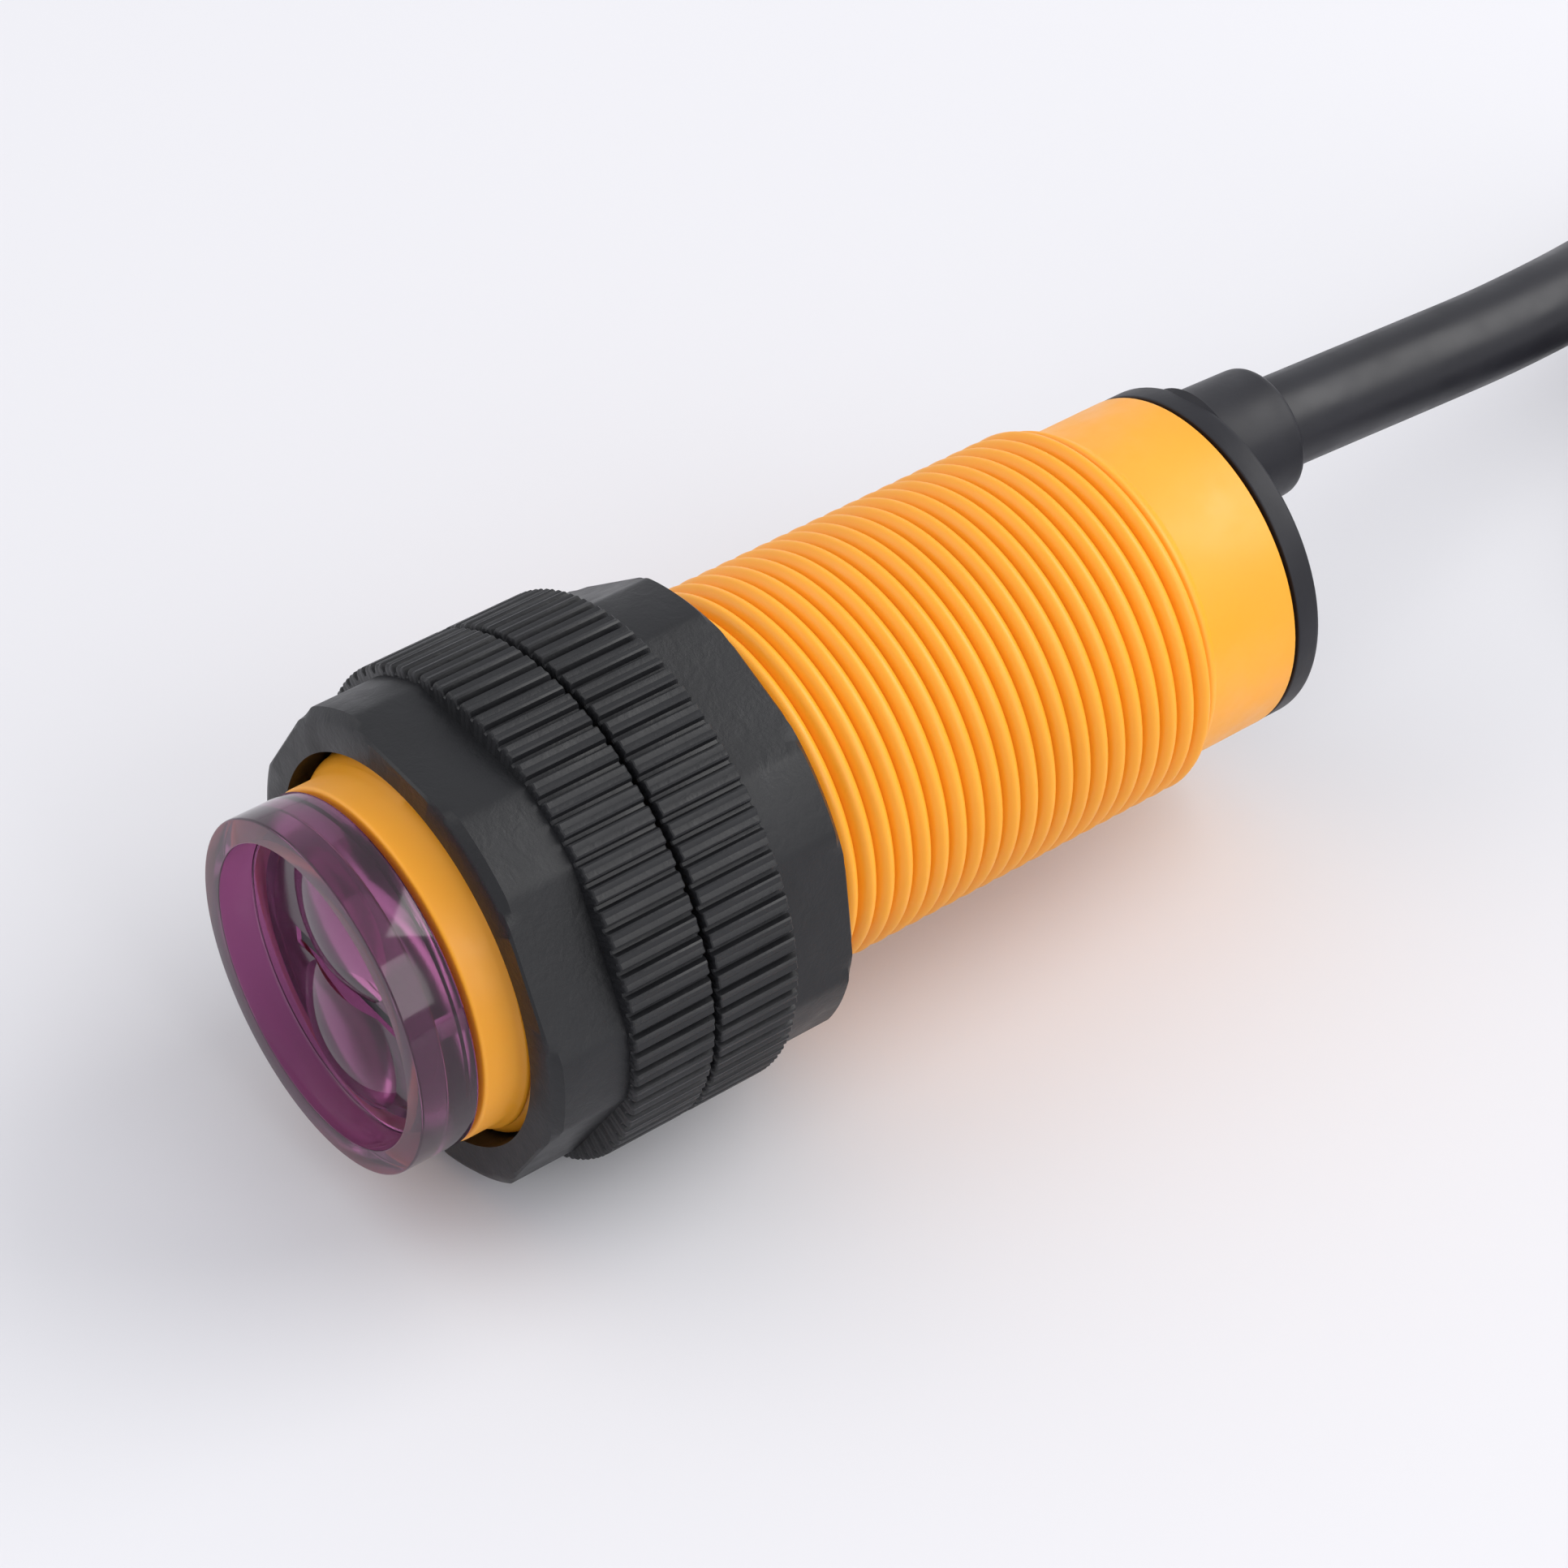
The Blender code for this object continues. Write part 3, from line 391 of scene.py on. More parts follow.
def purple_acrylic():
    """Tinted clear acrylic."""
    made, shader, where = new_material("purple_acrylic", 0.09)
    varied(made, shader, where, settings().finish.purple, 120.0, 0.05)
    rough = spread(made, noise(made, where, 260.0, 4.0), 0.04, 0.10)
    made.node_tree.links.new(rough, shader.inputs["Roughness"])
    shader.inputs["Transmission Weight"].default_value = 0.95
    shader.inputs["IOR"].default_value = 1.49
    bump(made, shader, noise(made, where, 380.0, 2.0), 0.05, 0.00003)
    return made


def plain_finish(name, color, roughness, metallic=0.0, scale=600.0, amount=0.12, clear=0.0):
    """A finish for small inner parts: mottled colour and a fine surface."""
    made, shader, where = new_material(name, roughness, metallic)
    varied(made, shader, where, color, scale, amount)
    rough = spread(made, noise(made, where, scale * 3.0), roughness * 0.85, min(1.0, roughness * 1.2))
    made.node_tree.links.new(rough, shader.inputs["Roughness"])
    shader.inputs["Transmission Weight"].default_value = clear
    bump(made, shader, noise(made, where, scale * 6.0), 0.1, 0.00002)
    return made


def pvc_jacket(name, color, roughness=0.38):
    """Extruded flexible PVC: a faint drift in colour and a soft sheen."""
    made, shader, where = new_material(name, roughness)
    varied(made, shader, where, color, 150.0, 0.10)
    rough = spread(made, noise(made, where, 500.0, 5.0), roughness * 0.85, roughness * 1.2)
    made.node_tree.links.new(rough, shader.inputs["Roughness"])
    shader.inputs["IOR"].default_value = 1.5
    shader.inputs["Specular IOR Level"].default_value = 0.38
    bump(made, shader, noise(made, where, 1500.0, 4.0), 0.08, 0.00003)
    return made


LOOKS = {}


def look(name):
    """The finish of a material slot, made once."""
    if name in LOOKS:
        return LOOKS[name]
    colors = settings().finish
    recipes = {
        "orange_abs": orange_abs,
        "purple_acrylic": purple_acrylic,
        "black_nylon": lambda: moulded_black("black_nylon", colors.black, 3800.0, 0.35, 0.36, 0.52),
        "cap_nylon": lambda: moulded_black("cap_nylon", colors.cap_black, 2400.0, 0.15, 0.38, 0.50, 0.28),
        "black_pvc": lambda: pvc_jacket("black_pvc", colors.jacket),
        "brown_pvc": lambda: pvc_jacket("brown_pvc", (0.16, 0.055, 0.025)),
        "blue_pvc": lambda: pvc_jacket("blue_pvc", (0.02, 0.09, 0.42)),
        "clear_epoxy": lambda: plain_finish("clear_epoxy", (0.9, 0.92, 0.95), 0.06, clear=0.9, amount=0.02),
        "dark_epoxy": lambda: plain_finish("dark_epoxy", (0.05, 0.03, 0.05), 0.08, clear=0.3),
        "red_epoxy": lambda: plain_finish("red_epoxy", (0.75, 0.03, 0.02), 0.12, clear=0.35),
        "board_laminate": lambda: plain_finish("board_laminate", (0.015, 0.16, 0.06), 0.35, scale=900.0),
        "chip_epoxy": lambda: plain_finish("chip_epoxy", (0.025, 0.025, 0.027), 0.55, scale=2000.0),
        "chip_ceramic": lambda: plain_finish("chip_ceramic", (0.45, 0.34, 0.22), 0.4, scale=1200.0),
        "alumina": lambda: plain_finish("alumina", (0.82, 0.82, 0.78), 0.45, scale=1200.0, amount=0.05),
        "aluminium_can": lambda: plain_finish("aluminium_can", (0.75, 0.76, 0.78), 0.3, 1.0),
        "trimmer_blue": lambda: plain_finish("trimmer_blue", (0.03, 0.13, 0.48), 0.38),
        "brass": lambda: plain_finish("brass", (0.80, 0.58, 0.24), 0.28, 1.0, scale=900.0),
        "tinned_copper": lambda: plain_finish("tinned_copper", (0.74, 0.73, 0.70), 0.3, 1.0),
    }
    LOOKS[name] = recipes[name]()
    return LOOKS[name]


# ---------------------------------------------------------------------------------------------------- cable

# Angles round the coil in degrees: where the laid stretch joins it, where each row moves in, and the rest
COIL_START = 17
COIL_STEP = 3
FIRST_ROW_MOVES_IN = (290, 350)
SECOND_ROW_MOVES_IN = (650, 710)
TIE_ANGLE = 35
CORES_END_ANGLE = 1155

# The cable's laid stretch: side (X), distance behind the lens rim, and height above the barrel's axis
CABLE_ROUTE = [
    (-0.80, 53.3, 4.68),
    (-0.80, 58.0, 4.37),
    (-0.80, 63.0, 4.03),
    (-0.85, 68.0, 3.69),
    (-1.24, 73.0, 3.29),
    (-2.38, 78.0, 2.30),
    (-3.96, 83.0, 0.60),
    (-5.70, 88.0, -1.82),
    (-7.33, 93.0, -4.57),
    (-8.58, 98.0, -6.65),
    (-9.18, 103.0, -8.02),
    (-9.17, 108.0, -8.66),
    (-8.47, 112.0, -8.72),
]


def smooth_line(points, spacing):
    """Points a given distance apart along a Catmull-Rom curve through the given ones."""
    points = [Vector(p) for p in points]
    ends = [2 * points[0] - points[1]] + points + [2 * points[-1] - points[-2]]
    fine = []
    for a, b, c, d in zip(ends, ends[1:], ends[2:], ends[3:]):
        for step in range(24):
            t = step / 24
            straight = 2 * b + (c - a) * t
            curved = (2 * a - 5 * b + 4 * c - d) * t**2 + (3 * b - a - 3 * c + d) * t**3
            fine.append(0.5 * (straight + curved))
    fine.append(points[-1])
    count = max(2, round(line_length(fine) / spacing))
    apart = line_length(fine) / count
    kept, walked, wanted = [fine[0]], 0.0, apart
    for a, b in zip(fine, fine[1:]):
        step = (b - a).length
        while walked + step >= wanted - 1e-9 and len(kept) < count:
            kept.append(a.lerp(b, (wanted - walked) / step))
            wanted += apart
        walked += step
    return kept + [fine[-1]]


def line_length(points):
    """The length of a line through points."""
    return sum((b - a).length for a, b in zip(points, points[1:]))


def coil_place(angle, radius, height):
    """A point of the coil: the angle runs clockwise from above, from the coil's -X side."""
    return Vector((COIL_CENTRE.x - radius * cos(angle), COIL_CENTRE.y + radius * sin(angle), height))


def coil_radius(degrees):
    """The cable's distance from the coil's middle as it winds inwards over two turns and a tail."""
    cable = settings().cable
    moves = [
        (FIRST_ROW_MOVES_IN, cable.outer_turn, cable.inner_turn),
        (SECOND_ROW_MOVES_IN, cable.inner_turn, cable.tail_turn),
    ]
    radius = cable.outer_turn
    for (start, end), outer, inner in moves:
        share = min(1.0, max(0.0, (degrees - start) / (end - start)))
        radius -= (outer - inner) * share * share * (3 - 2 * share)
    return radius


def cable_line():
    """The whole centreline of the jacketed cable, and the angle round the coil at which it ends."""
    cable = settings().cable
    height = cable.lift + cable.diameter / 2
    laid = [Vector((x * MM, behind(y * MM), AXIS_Z + z * MM)) for x, y, z in CABLE_ROUTE]
    wound = smooth_line(laid, 1.0 * MM)
    rows_end = SECOND_ROW_MOVES_IN[1]
    angles = range(COIL_START, rows_end + 1, COIL_STEP)
    wound += [coil_place(radians(a), coil_radius(a), height) for a in angles]
    sweep = (cable.length - line_length(wound)) / cable.tail_turn
    steps = round(sweep / radians(COIL_STEP))
    for k in range(1, steps + 1):
        wound.append(coil_place(radians(rows_end) + sweep * k / steps, cable.tail_turn, height))
    return wound, radians(rows_end) + sweep


def strand(name, points, radius, finish, resolution, replaced):
    """A curve object along a centreline, round in section, with closed ends."""
    curve = bpy.data.curves.new(name, "CURVE")
    curve.dimensions = "3D"
    curve.bevel_depth = radius
    curve.bevel_resolution = resolution
    curve.use_fill_caps = True
    spline = curve.splines.new("POLY")
    spline.points.add(len(points) - 1)
    for point, place in zip(spline.points, points):
        point.co = (*place, 1.0)
    spline.use_smooth = True
    curve.materials.append(look(finish))
    piece = gather(bpy.data.objects.new(name, curve))
    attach(piece, HOUSING)
    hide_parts(*replaced)
    return piece


def core_line(jacket_end, ahead, start_angle):
    """The middle core's line from the jacket's end, round the inside of the coil, to the connector."""
    cable = settings().cable
    clearance = 0.05 * MM
    floor = cable.core / 2 + clearance
    points = [jacket_end + ahead * 0.6 * MM, jacket_end + ahead * 2.2 * MM]
    end_angle = radians(CORES_END_ANGLE)
    for k in range(2, 11):
        share = k / 10
        inwards = min(1.0, 2.3 * share)
        drawn_in = (cable.cores_turn - cable.tail_turn) * inwards * inwards * (3 - 2 * inwards)
        height = jacket_end.z + (floor - jacket_end.z) * min(1.0, 2 * share)
        angle = start_angle + (end_angle - start_angle) * share
        points.append(coil_place(angle, cable.tail_turn + drawn_in, height))
    middle = Vector((COIL_CENTRE.x, COIL_CENTRE.y, 0))
    for x, y, z in ((0.4, 12.7, 0.65), (4.6, 10.4, 0.82), (6.5, 7.0, 1.15), (6.5, 4.5, 1.25)):
        points.append(middle + Vector((x, y, z)) * MM)
    return smooth_line(points, 1.0 * MM)


def core_beside(line, lane):
    """A line beside another one, lane steps to its left, that spreads towards its end."""
    cable = settings().cable
    beside = []
    for index, point in enumerate(line):
        along = line[min(index + 1, len(line) - 1)] - line[max(index - 1, 0)]
        left = Vector((-along.y, along.x, 0)).normalized()
        late = max(0.0, 2 * index / (len(line) - 1) - 1)
        widening = (cable.contact_pitch - cable.core_spacing) * late * late * (3 - 2 * late)
        beside.append(point + left * (cable.core_spacing + widening) * lane)
    return beside


def cable_tie(cable):
    """The tie round the coil's three rows: a strap with its ratchet head on the outer side."""
    low = cable.tail_turn - cable.diameter / 2 - 0.5 * MM
    high = cable.outer_turn + cable.diameter / 2 + 0.3 * MM
    top = cable.lift + cable.diameter + 0.2 * MM
    thick, half = 0.4 * MM, 1.3 * MM
    strap, gap, head = bmesh.new(), bmesh.new(), bmesh.new()
    box_into(strap, (low - thick, -half, 0), (high + thick, half, top + thick), 0.12 * MM)
    box_into(gap, (low, -2 * half, thick), (high, 2 * half, top))
    box_into(head, (high + 0.1 * MM, -1.9 * MM, 1.4 * MM), (high + 1.6 * MM, 1.9 * MM, 4.9 * MM), 0.3 * MM)
    bm = combined(strap, [(gap, "DIFFERENCE"), (head, "UNION")])
    turn = Matrix.Rotation(radians(TIE_ANGLE), 4, "Z")
    place = Matrix.Translation((COIL_CENTRE.x, COIL_CENTRE.y, 0))
    bmesh.ops.transform(bm, matrix=place @ turn, verts=bm.verts)
    return piece_from(bm, "tie_strap", look("black_nylon"), HOUSING, ["cable_tie"])


def socket_housing():
    """The three-way housing: rounded edges, a cell for each contact and its latch windows."""
    low, high = CONNECTOR_LOW, CONNECTOR_HIGH
    middle = (low.z + high.z) / 2
    half, window_half = 0.86 * MM, 0.6 * MM
    window_start, window_end = 7.0 * MM, 4.6 * MM
    body = bmesh.new()
    box_into(body, low, high, 0.18 * MM, 3)
    tools = []
    for lane in (-1, 0, 1):
        x = (low.x + high.x) / 2 + lane * settings().cable.contact_pitch
        cell = bmesh.new()
        box_into(cell, (x - half, low.y - MM, middle - half), (x + half, high.y + MM, middle + half))
        tools.append((cell, "DIFFERENCE"))
        window = bmesh.new()
        box_into(
            window,
            (x - window_half, high.y - window_start, middle),
            (x + window_half, high.y - window_end, high.z + MM),
        )
        tools.append((window, "DIFFERENCE"))
    bm = combined(body, tools)
    finish = look("black_nylon")
    return piece_from(bm, "socket_housing", finish, HOUSING, ["connector_housing"])


class SENSOR_OT_cable(Operator):
    """Lay the cable, its coil, its tie, its cores and its connector"""

    bl_idname = "sensor.cable"
    bl_label = "Cable"

    def execute(self, context):
        cable = settings().cable
        line, end_angle = cable_line()
        jacket = strand(
            "cable_jacket", line, cable.diameter / 2, "black_pvc", 8, ["cable", "cable_coil", "cable_tail"]
        )
        ahead = (line[-1] - line[-2]).normalized()
        middle = core_line(line[-1], ahead, end_angle)
        housing = socket_housing()
        lanes = ((-1, "supply", "brown_pvc"), (0, "output", "black_pvc"), (1, "ground", "blue_pvc"))
        for lane, core, finish in lanes:
            route = core_beside(middle, lane)
            piece = strand(f"{core}_core_free", route, cable.core / 2, finish, 4, [f"{core}_conductor"])
        cable_tie(cable)
        return {"FINISHED"}


# --------------------------------------------------------------------------------------------------- barrel


def thread_outline(barrel):
    """One long outline over all the thread's ridges: broad round crests with narrow grooves between."""
    per_pitch = 10
    turns = round((barrel.thread_end - barrel.thread_start) / barrel.pitch) + 1
    outline = []
    for k in range(per_pitch * turns + 1):
        height = abs(sin(pi * k / per_pitch)) ** 0.62
        place = barrel.thread_start + (k / per_pitch - 1) * barrel.pitch
        outline.append((barrel.root + (barrel.crest - barrel.root) * height, place))
    return outline


class SENSOR_OT_barrel(Operator):
    """Build the threaded barrel"""

    bl_idname = "sensor.barrel"
    bl_label = "Barrel"

    def execute(self, context):
        barrel = settings().barrel
        front, rear = BARREL_FRONT_Y - RIM_Y, BARREL_REAR_Y - RIM_Y
        bm = bmesh.new()
        spin(bm, thread_outline(barrel), barrel.steps, closed=False, advance=barrel.pitch)
        start, end = behind(barrel.thread_start), behind(barrel.thread_end)
        run_out = 0.8 * barrel.pitch
        for vert in bm.verts:
            y = min(max(vert.co.y, start), end)
            out = Vector((vert.co.x, 0, vert.co.z - AXIS_Z))
            fade = min(1.0, (y - start) / run_out, (end - y) / run_out)
            radius = barrel.root + (out.length - barrel.root) * fade
            out = out.normalized() * radius
            vert.co = (out.x, y, AXIS_Z + out.z)
        shoulder = 0.25 * MM
        spin(
            bm,
            [(barrel.root, barrel.thread_start), (barrel.smooth, barrel.thread_start - shoulder)]
            + rounded((barrel.smooth, front), (barrel.smooth, front + MM), (barrel.bore, front), 0.2 * MM)
            + [(barrel.bore, front), (barrel.bore, rear)]
            + rounded((barrel.smooth, rear), (barrel.bore, rear), (barrel.smooth, rear - MM), 0.12 * MM)
            + [(barrel.smooth, barrel.thread_end + shoulder), (barrel.root, barrel.thread_end)],
            barrel.steps,
            closed=False,
        )
        piece_from(bm, "threaded_barrel", look("orange_abs"), HOUSING, ["barrel"], sharp=50)
        return {"FINISHED"}


# ------------------------------------------------------------------------------------------------- lens cap


class SENSOR_OT_lens_cap(Operator):
    """Build the tinted lens cap with its two lenses"""

    bl_idname = "sensor.lens_cap"
    bl_label = "Lens Cap"

    def execute(self, context):
        lens = settings().lens
        skirt, skirt_bore = 6.6 * MM, 6.0 * MM
        skirt_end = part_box("lens_cap")[1].y - RIM_Y
        cup = bmesh.new()
        edge = 0.1 * MM
        outline = [(0, lens.back), (skirt_bore, lens.back), (skirt_bore, skirt_end), (skirt, skirt_end)]
        outline += [(skirt, lens.back)]
        outline += rounded((lens.outer, lens.back), (skirt, lens.back), (lens.outer, 0), edge)
        outline += rounded((lens.outer, 0), (lens.outer, lens.back), (lens.rim, 0), edge)
        outline += rounded((lens.rim, 0), (lens.outer, 0), (lens.rim, lens.recess), 0.06 * MM)
        outline += rounded((lens.rim, lens.recess), (lens.rim, 0), (0, lens.recess), 0.15 * MM)
        outline += [(0, lens.recess)]
        spin(cup, outline, 128, closed=False)
        tools = []
        for side in (1, -1):
            dome = bmesh.new()
            sphere = (lens.dome**2 + lens.rise**2) / (2 * lens.rise)
            tilt = asin(lens.dome / sphere)
            arc = [
                (sphere * sin(tilt * k / 16), lens.recess + sphere * (1 - cos(tilt * k / 16)) - lens.rise)
                for k in range(16, -1, -1)
            ]
            stub = [(0, lens.recess + 0.4 * MM), (lens.dome, lens.recess + 0.4 * MM)]
            spin(dome, stub + arc, 96, closed=False, z=side * lens.offset)
            tools.append((dome, "UNION"))
        slot = bmesh.new()
        half_width, half_length = lens.slot_width / 2, lens.slot_length / 2
        box_into(
            slot,
            (-half_length, behind(-0.5 * MM), AXIS_Z - half_width),
            (half_length, behind(lens.back + 0.5 * MM), AXIS_Z + half_width),
        )
        tools.append((slot, "DIFFERENCE"))
        bm = combined(cup, tools)
        finish = look("purple_acrylic")
        piece_from(bm, "lens_cup", finish, HOUSING, ["lens_cap"], sharp=25)
        return {"FINISHED"}


# ----------------------------------------------------------------------------------------------------- nuts


def knurl_height(angle, count):
    """How high the knurl stands, from 0 to 1: broad ridges, slightly hollow, with narrow grooves between."""
    crest, groove, hollow = 0.62, 0.84, 0.2
    off_middle = abs((angle * count / (2 * pi)) % 1.0 - 0.5) * 2
    if off_middle > crest:
        return max(0.0, (groove - off_middle) / (groove - crest))
    return 1.0 - hollow * (1 - off_middle / crest) ** 2


def hexagon_radius(angle, nut, turn):
    """The radius of a hexagon with round corners, at an angle from its first flat."""
    away = (angle - turn + pi / 6) % (pi / 3) - pi / 6
    flat = nut.flat / cos(away)
    soft = 0.06 * MM
    blend = max(0.0, soft - abs(flat - nut.corner)) / soft
    return min(flat, nut.corner) - blend * blend * soft / 4


def build_nut(name, node, hex_first, turn, body):
    """A nut: the knurled flange and the hexagon with its chamfered end, round a plain bore."""
    nut = settings().nut
    low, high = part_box(node)[0].y - RIM_Y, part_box(node)[1].y - RIM_Y
    flange_low = high - nut.flange_height if hex_first else low
    flange_high = flange_low + nut.flange_height
    bm = bmesh.new()
    base = nut.flange - nut.knurl_depth
    edge, drop = 0.12 * MM, 0.10 * MM
    outline = [
        (nut.bore, flange_low),
        (base - drop, flange_low),
        (base - drop / 4, flange_low + edge / 2),
        (base, flange_low + edge),
        (base, flange_high - edge),
        (base - drop / 4, flange_high - edge / 2),
        (base - drop, flange_high),
        (nut.bore, flange_high),
    ]
    spin(bm, outline, nut.knurl_count * 12)
    for vert in bm.verts:
        out = Vector((vert.co.x, 0, vert.co.z - AXIS_Z))
        if out.length < base - 2 * drop:
            continue
        end_fade = 1.0 - 2.0 * (base - out.length) / MM
        lift = nut.knurl_depth * knurl_height(atan2(out.x, out.z) - turn, nut.knurl_count) * end_fade
        out = out.normalized() * (out.length + lift)
        vert.co = (out.x, vert.co.y, AXIS_Z + out.z)

    hexagon = bmesh.new()
    hex_low, hex_high = (low, flange_low + 0.5 * MM) if hex_first else (flange_high - 0.5 * MM, high)
    rows = 10
    outer = nut.corner
    straight = [
        (outer, hex_low + (hex_high - hex_low) * (0.5 - 0.5 * cos(pi * k / rows))) for k in range(rows + 1)
    ]
    spin(hexagon, [(nut.bore, hex_low)] + straight + [(nut.bore, hex_high)], 360)
    end = behind(low) if hex_first else behind(high)
    for vert in hexagon.verts:
        out = Vector((vert.co.x, 0, vert.co.z - AXIS_Z))
        if out.length < nut.bore + 0.5 * MM:
            continue
        radius = hexagon_radius(atan2(out.x, out.z), nut, turn)
        from_end = abs(vert.co.y - end)
        chamfer = nut.flat + 0.15 * MM + from_end * 1.7
        rounding = 0.10 * MM * max(0.0, 1.0 - from_end / (0.12 * MM)) ** 2
        radius = min(radius, chamfer) - rounding
        out = out.normalized() * radius
        vert.co = (out.x, vert.co.y, AXIS_Z + out.z)
    scratch = bpy.data.meshes.new("hexagon_scratch")
    hexagon.to_mesh(scratch)
    hexagon.free()
    bm.from_mesh(scratch)
    bpy.data.meshes.remove(scratch)
    return piece_from(bm, name, look("black_nylon"), body, [node], sharp=28)


class SENSOR_OT_nuts(Operator):
    """Build both barrel nuts"""

    bl_idname = "sensor.nuts"
    bl_label = "Nuts"

    def execute(self, context):
        nut = settings().nut
        build_nut("front_nut_knurled", "front_nut", True, nut.front_turn, "nut_in_front")
        build_nut("rear_nut_knurled", "rear_nut", False, nut.rear_turn, "nut_behind")
        return {"FINISHED"}


# ------------------------------------------------------------------------------------------------- rear cap


class SENSOR_OT_rear_cap(Operator):
    """Build the rear cap with its cable boss"""

    bl_idname = "sensor.rear_cap"
    bl_label = "Rear Cap"

    def execute(self, context):
        rear = settings().rear
        boss_end = CAP_BACK_Y - RIM_Y
        front = BARREL_REAR_Y - RIM_Y + 0.2 * MM
        cap = bmesh.new()
        outline = [(0, rear.face)]
        outline += rounded((rear.radius, rear.face), (0, rear.face), (rear.radius, front), 0.3 * MM, 6)
        outline += rounded((rear.radius, front), (rear.radius, rear.face), (rear.plug, front), 0.1 * MM)
        outline += [(rear.plug, front), (rear.plug, rear.plug_start), (0, rear.plug_start)]
        spin(cap, outline, 128, closed=False)
        boss = bmesh.new()
        fillet = 0.35 * MM
        outline = [(0, boss_end)]
        outline += rounded(
            (rear.boss_end, boss_end), (0, boss_end), (rear.boss_base, rear.face), 0.5 * MM, 6
        )
        outline += [
            (rear.boss_base, rear.face + fillet),
            (rear.boss_base + fillet * 0.3, rear.face + fillet * 0.3),
            (rear.boss_base + fillet, rear.face - 0.02 * MM),
            (rear.boss_base, rear.face - 0.6 * MM),
            (0, rear.face - 0.6 * MM),
        ]
        spin(boss, outline, 96, closed=False, x=rear.boss_side, z=rear.boss_up)
        tools = [(boss, "UNION")]
        screw = (SCREW_LOW + SCREW_HIGH) / 2
        indicator = (INDICATOR_LOW + INDICATOR_HIGH) / 2
        holes = [
            (rear.boss_side, rear.boss_up, rear.boss_bore, rear.face),
            (screw.x, screw.z - AXIS_Z, 1.35 * MM, rear.plug_start - MM),
            (indicator.x, indicator.z - AXIS_Z, 1.6 * MM, rear.plug_start - MM),
        ]
        for x, z, radius, start in holes:
            hole = bmesh.new()
            beyond = boss_end + MM
            spin(hole, [(0, beyond), (radius, beyond), (radius, start), (0, start)], 64, False, x, z)
            tools.append((hole, "DIFFERENCE"))
        bm = combined(cap, tools)
        finish = look("cap_nylon")
        piece_from(bm, "rear_cap_moulding", finish, HOUSING, ["rear_cap"], sharp=25)
        return {"FINISHED"}


# ------------------------------------------------------------------------------------------------ inner parts


class SENSOR_OT_inner_parts(Operator):
    """Give every part that comes from the frame its finish"""

    bl_idname = "sensor.inner_parts"
    bl_label = "Inner Parts"

    def execute(self, context):
        slots = {part["node"]: part["material_slot"] for part in frame["record"]["subparts"]}
        for name, node in frame["nodes"].items():
            node.data.materials.clear()
            node.data.materials.append(look(slots[name]))
        return {"FINISHED"}


# ----------------------------------------------------------------------------------------------------- stage


def area_light(name, place, target, size, energy, color):
    """A square soft light that faces a point."""
    light = bpy.data.lights.new(name, "AREA")
    light.shape = "RECTANGLE"
    light.size, light.size_y = size
    light.energy = energy
    light.color = color
    holder = bpy.data.objects.new(name, light)
    bpy.context.scene.collection.objects.link(holder)
    holder.location = place
    holder.rotation_euler = (Vector(target) - Vector(place)).to_track_quat("-Z", "Y").to_euler()
    return holder


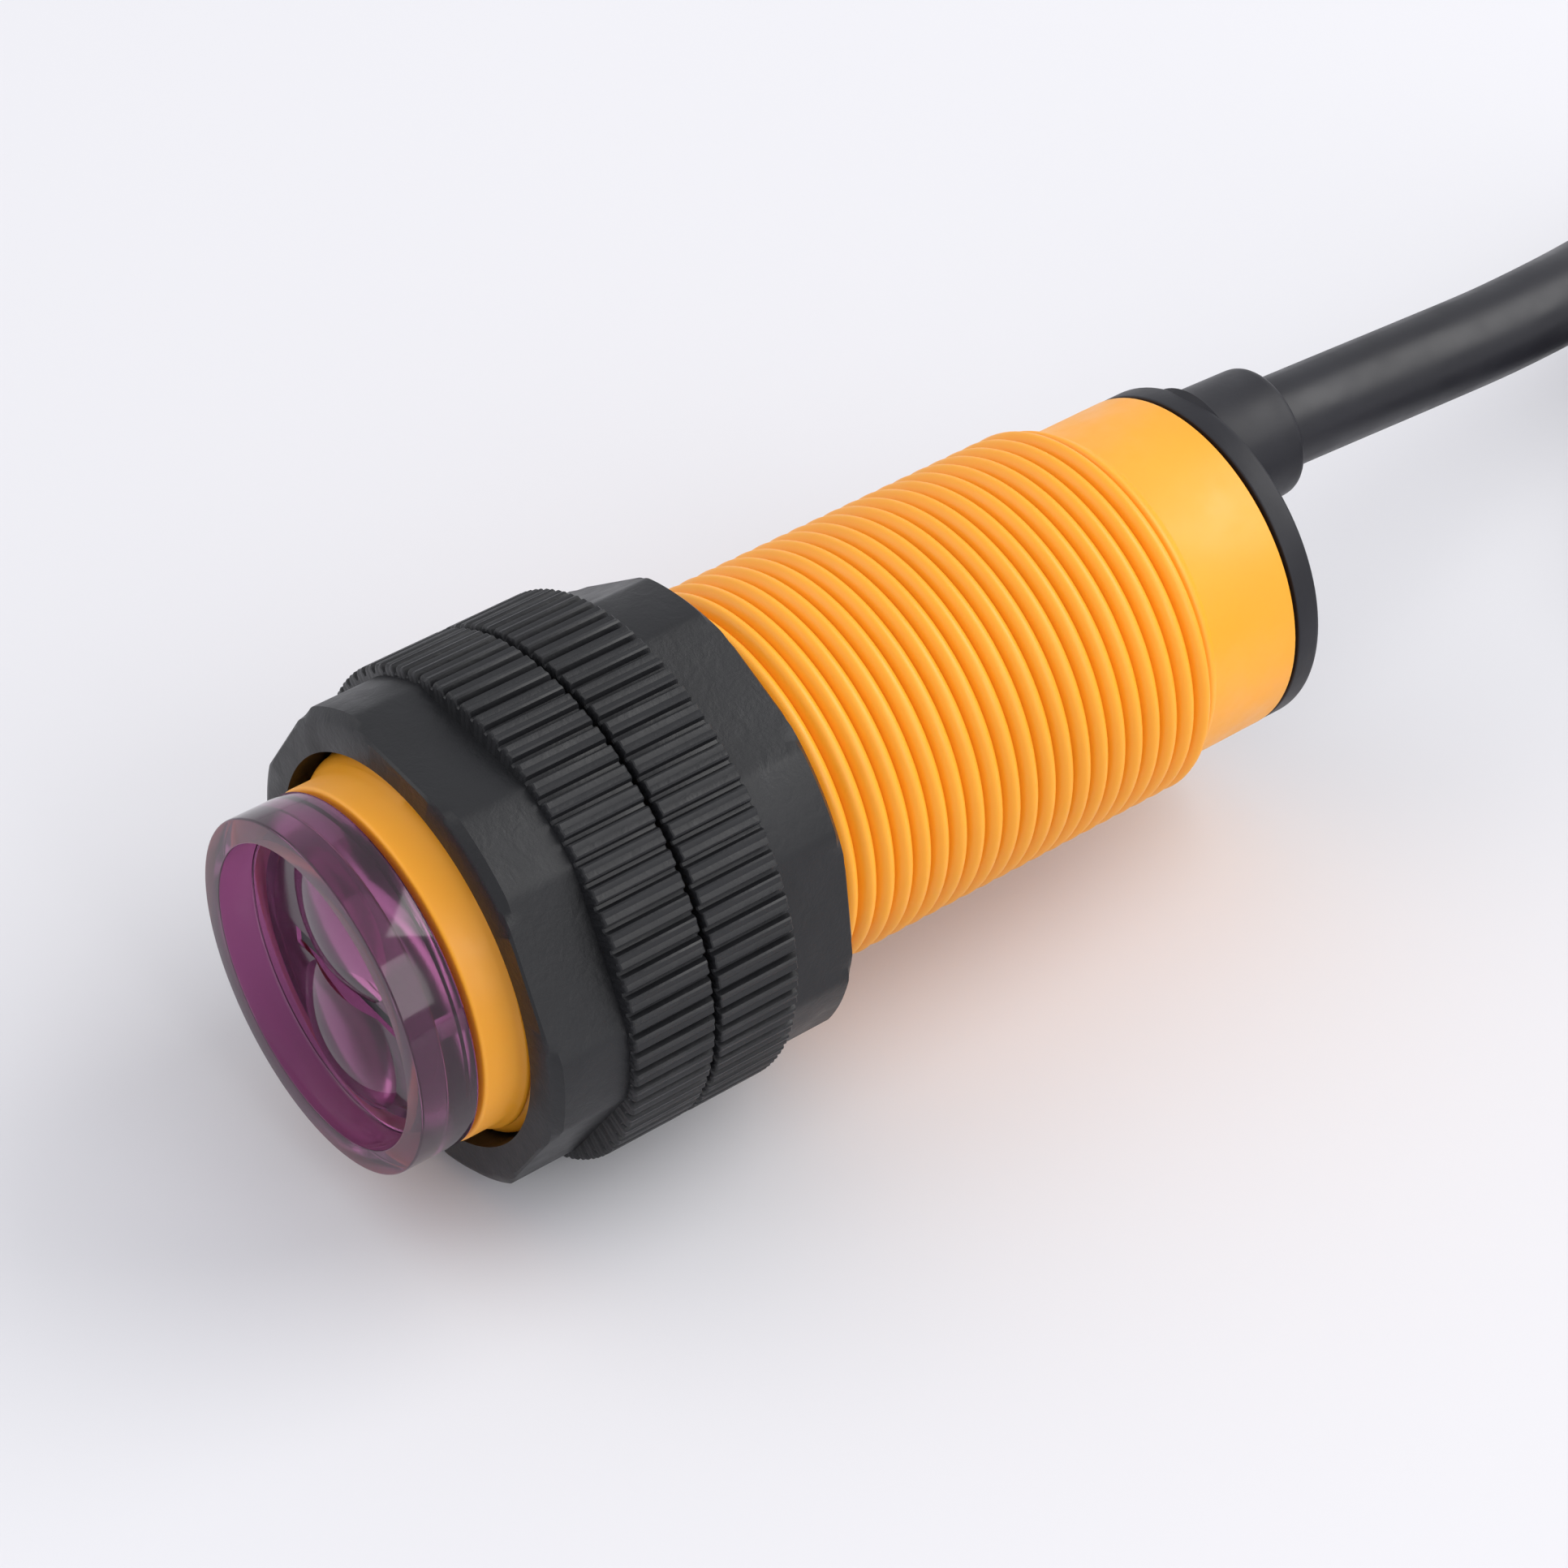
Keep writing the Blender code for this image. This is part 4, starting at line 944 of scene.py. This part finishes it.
class SENSOR_OT_stage(Operator):
    """Set up the floor, the lights and the camera"""

    bl_idname = "sensor.stage"
    bl_label = "Stage"

    def execute(self, context):
        scene = context.scene
        bm = bmesh.new()
        bmesh.ops.create_grid(bm, x_segments=1, y_segments=1, size=1.5)
        mesh = bpy.data.meshes.new("floor")
        bm.to_mesh(mesh)
        bm.free()
        made, shader, where = new_material("floor_paper", 0.75)
        varied(made, shader, where, settings().finish.floor, 3.0, 0.01)
        shader.inputs["Specular IOR Level"].default_value = 0.25
        mesh.materials.append(made)
        floor = bpy.data.objects.new("floor", mesh)
        scene.collection.objects.link(floor)

        world = bpy.data.worlds.new("studio")
        world.use_nodes = True
        background = world.node_tree.nodes["Background"]
        background.inputs["Color"].default_value = (0.95, 0.96, 1.0, 1.0)
        background.inputs["Strength"].default_value = 0.80
        scene.world = world
        middle = (0.0, 0.0, AXIS_Z)
        area_light("window_behind", (0.18, 0.42, 0.40), middle, (0.45, 0.45), 2.2, (1.0, 0.99, 0.97))
        area_light("window_right", (0.52, 0.05, 0.30), middle, (0.35, 0.35), 1.0, (1.0, 0.99, 0.98))
        area_light("room_fill", (-0.35, -0.42, 0.40), middle, (0.60, 0.60), 1.1, (1.0, 0.99, 0.98))

        camera = bpy.data.cameras.new("camera")
        camera.lens = CAMERA_LENS
        camera.sensor_width = 36.0
        camera.clip_start, camera.clip_end = 0.01, 10.0
        holder = bpy.data.objects.new("camera", camera)
        holder.location = CAMERA_PLACE
        holder.rotation_euler = [radians(angle) for angle in CAMERA_TURN]
        scene.collection.objects.link(holder)
        scene.camera = holder
        scene.view_settings.view_transform = "Standard"
        return {"FINISHED"}


# -------------------------------------------------------------------------------------------------- register


class SensorSettings(PropertyGroup):
    barrel: PointerProperty(type=BarrelSettings, name="Barrel", description="Sizes of the barrel")
    nut: PointerProperty(type=NutSettings, name="Nuts", description="Sizes of the nuts")
    lens: PointerProperty(type=LensSettings, name="Lens Cap", description="Sizes of the lens cap")
    rear: PointerProperty(type=RearSettings, name="Rear Cap", description="Sizes of the rear cap")
    cable: PointerProperty(type=CableSettings, name="Cable", description="Sizes of the cable")
    finish: PointerProperty(type=FinishSettings, name="Finish", description="Colours of the finishes")


OPERATORS = (
    SENSOR_OT_stage,
    SENSOR_OT_cable,
    SENSOR_OT_inner_parts,
    SENSOR_OT_barrel,
    SENSOR_OT_lens_cap,
    SENSOR_OT_nuts,
    SENSOR_OT_rear_cap,
)


class SENSOR_PT_panel(Panel):
    """Lists the sensor's operators"""

    bl_idname = "SENSOR_PT_panel"
    bl_label = "Photoelectric Sensor"
    bl_space_type = "VIEW_3D"
    bl_region_type = "UI"
    bl_category = "Sensor"

    def draw(self, context):
        for operator in OPERATORS:
            self.layout.operator(operator.bl_idname)


GROUPS = (
    BarrelSettings,
    NutSettings,
    LensSettings,
    RearSettings,
    CableSettings,
    FinishSettings,
    SensorSettings,
)


def register():
    for group in GROUPS + OPERATORS + (SENSOR_PT_panel,):
        bpy.utils.register_class(group)
    bpy.types.Scene.sensor_settings = PointerProperty(type=SensorSettings)


def unregister():
    del bpy.types.Scene.sensor_settings
    for group in reversed(GROUPS + OPERATORS + (SENSOR_PT_panel,)):
        bpy.utils.unregister_class(group)


def main():
    register()
    bpy.ops.sensor.stage()
    bpy.ops.sensor.cable()
    bpy.ops.sensor.inner_parts()
    bpy.ops.sensor.barrel()
    bpy.ops.sensor.lens_cap()
    bpy.ops.sensor.nuts()
    bpy.ops.sensor.rear_cap()


if __name__ == "__main__":
    main()
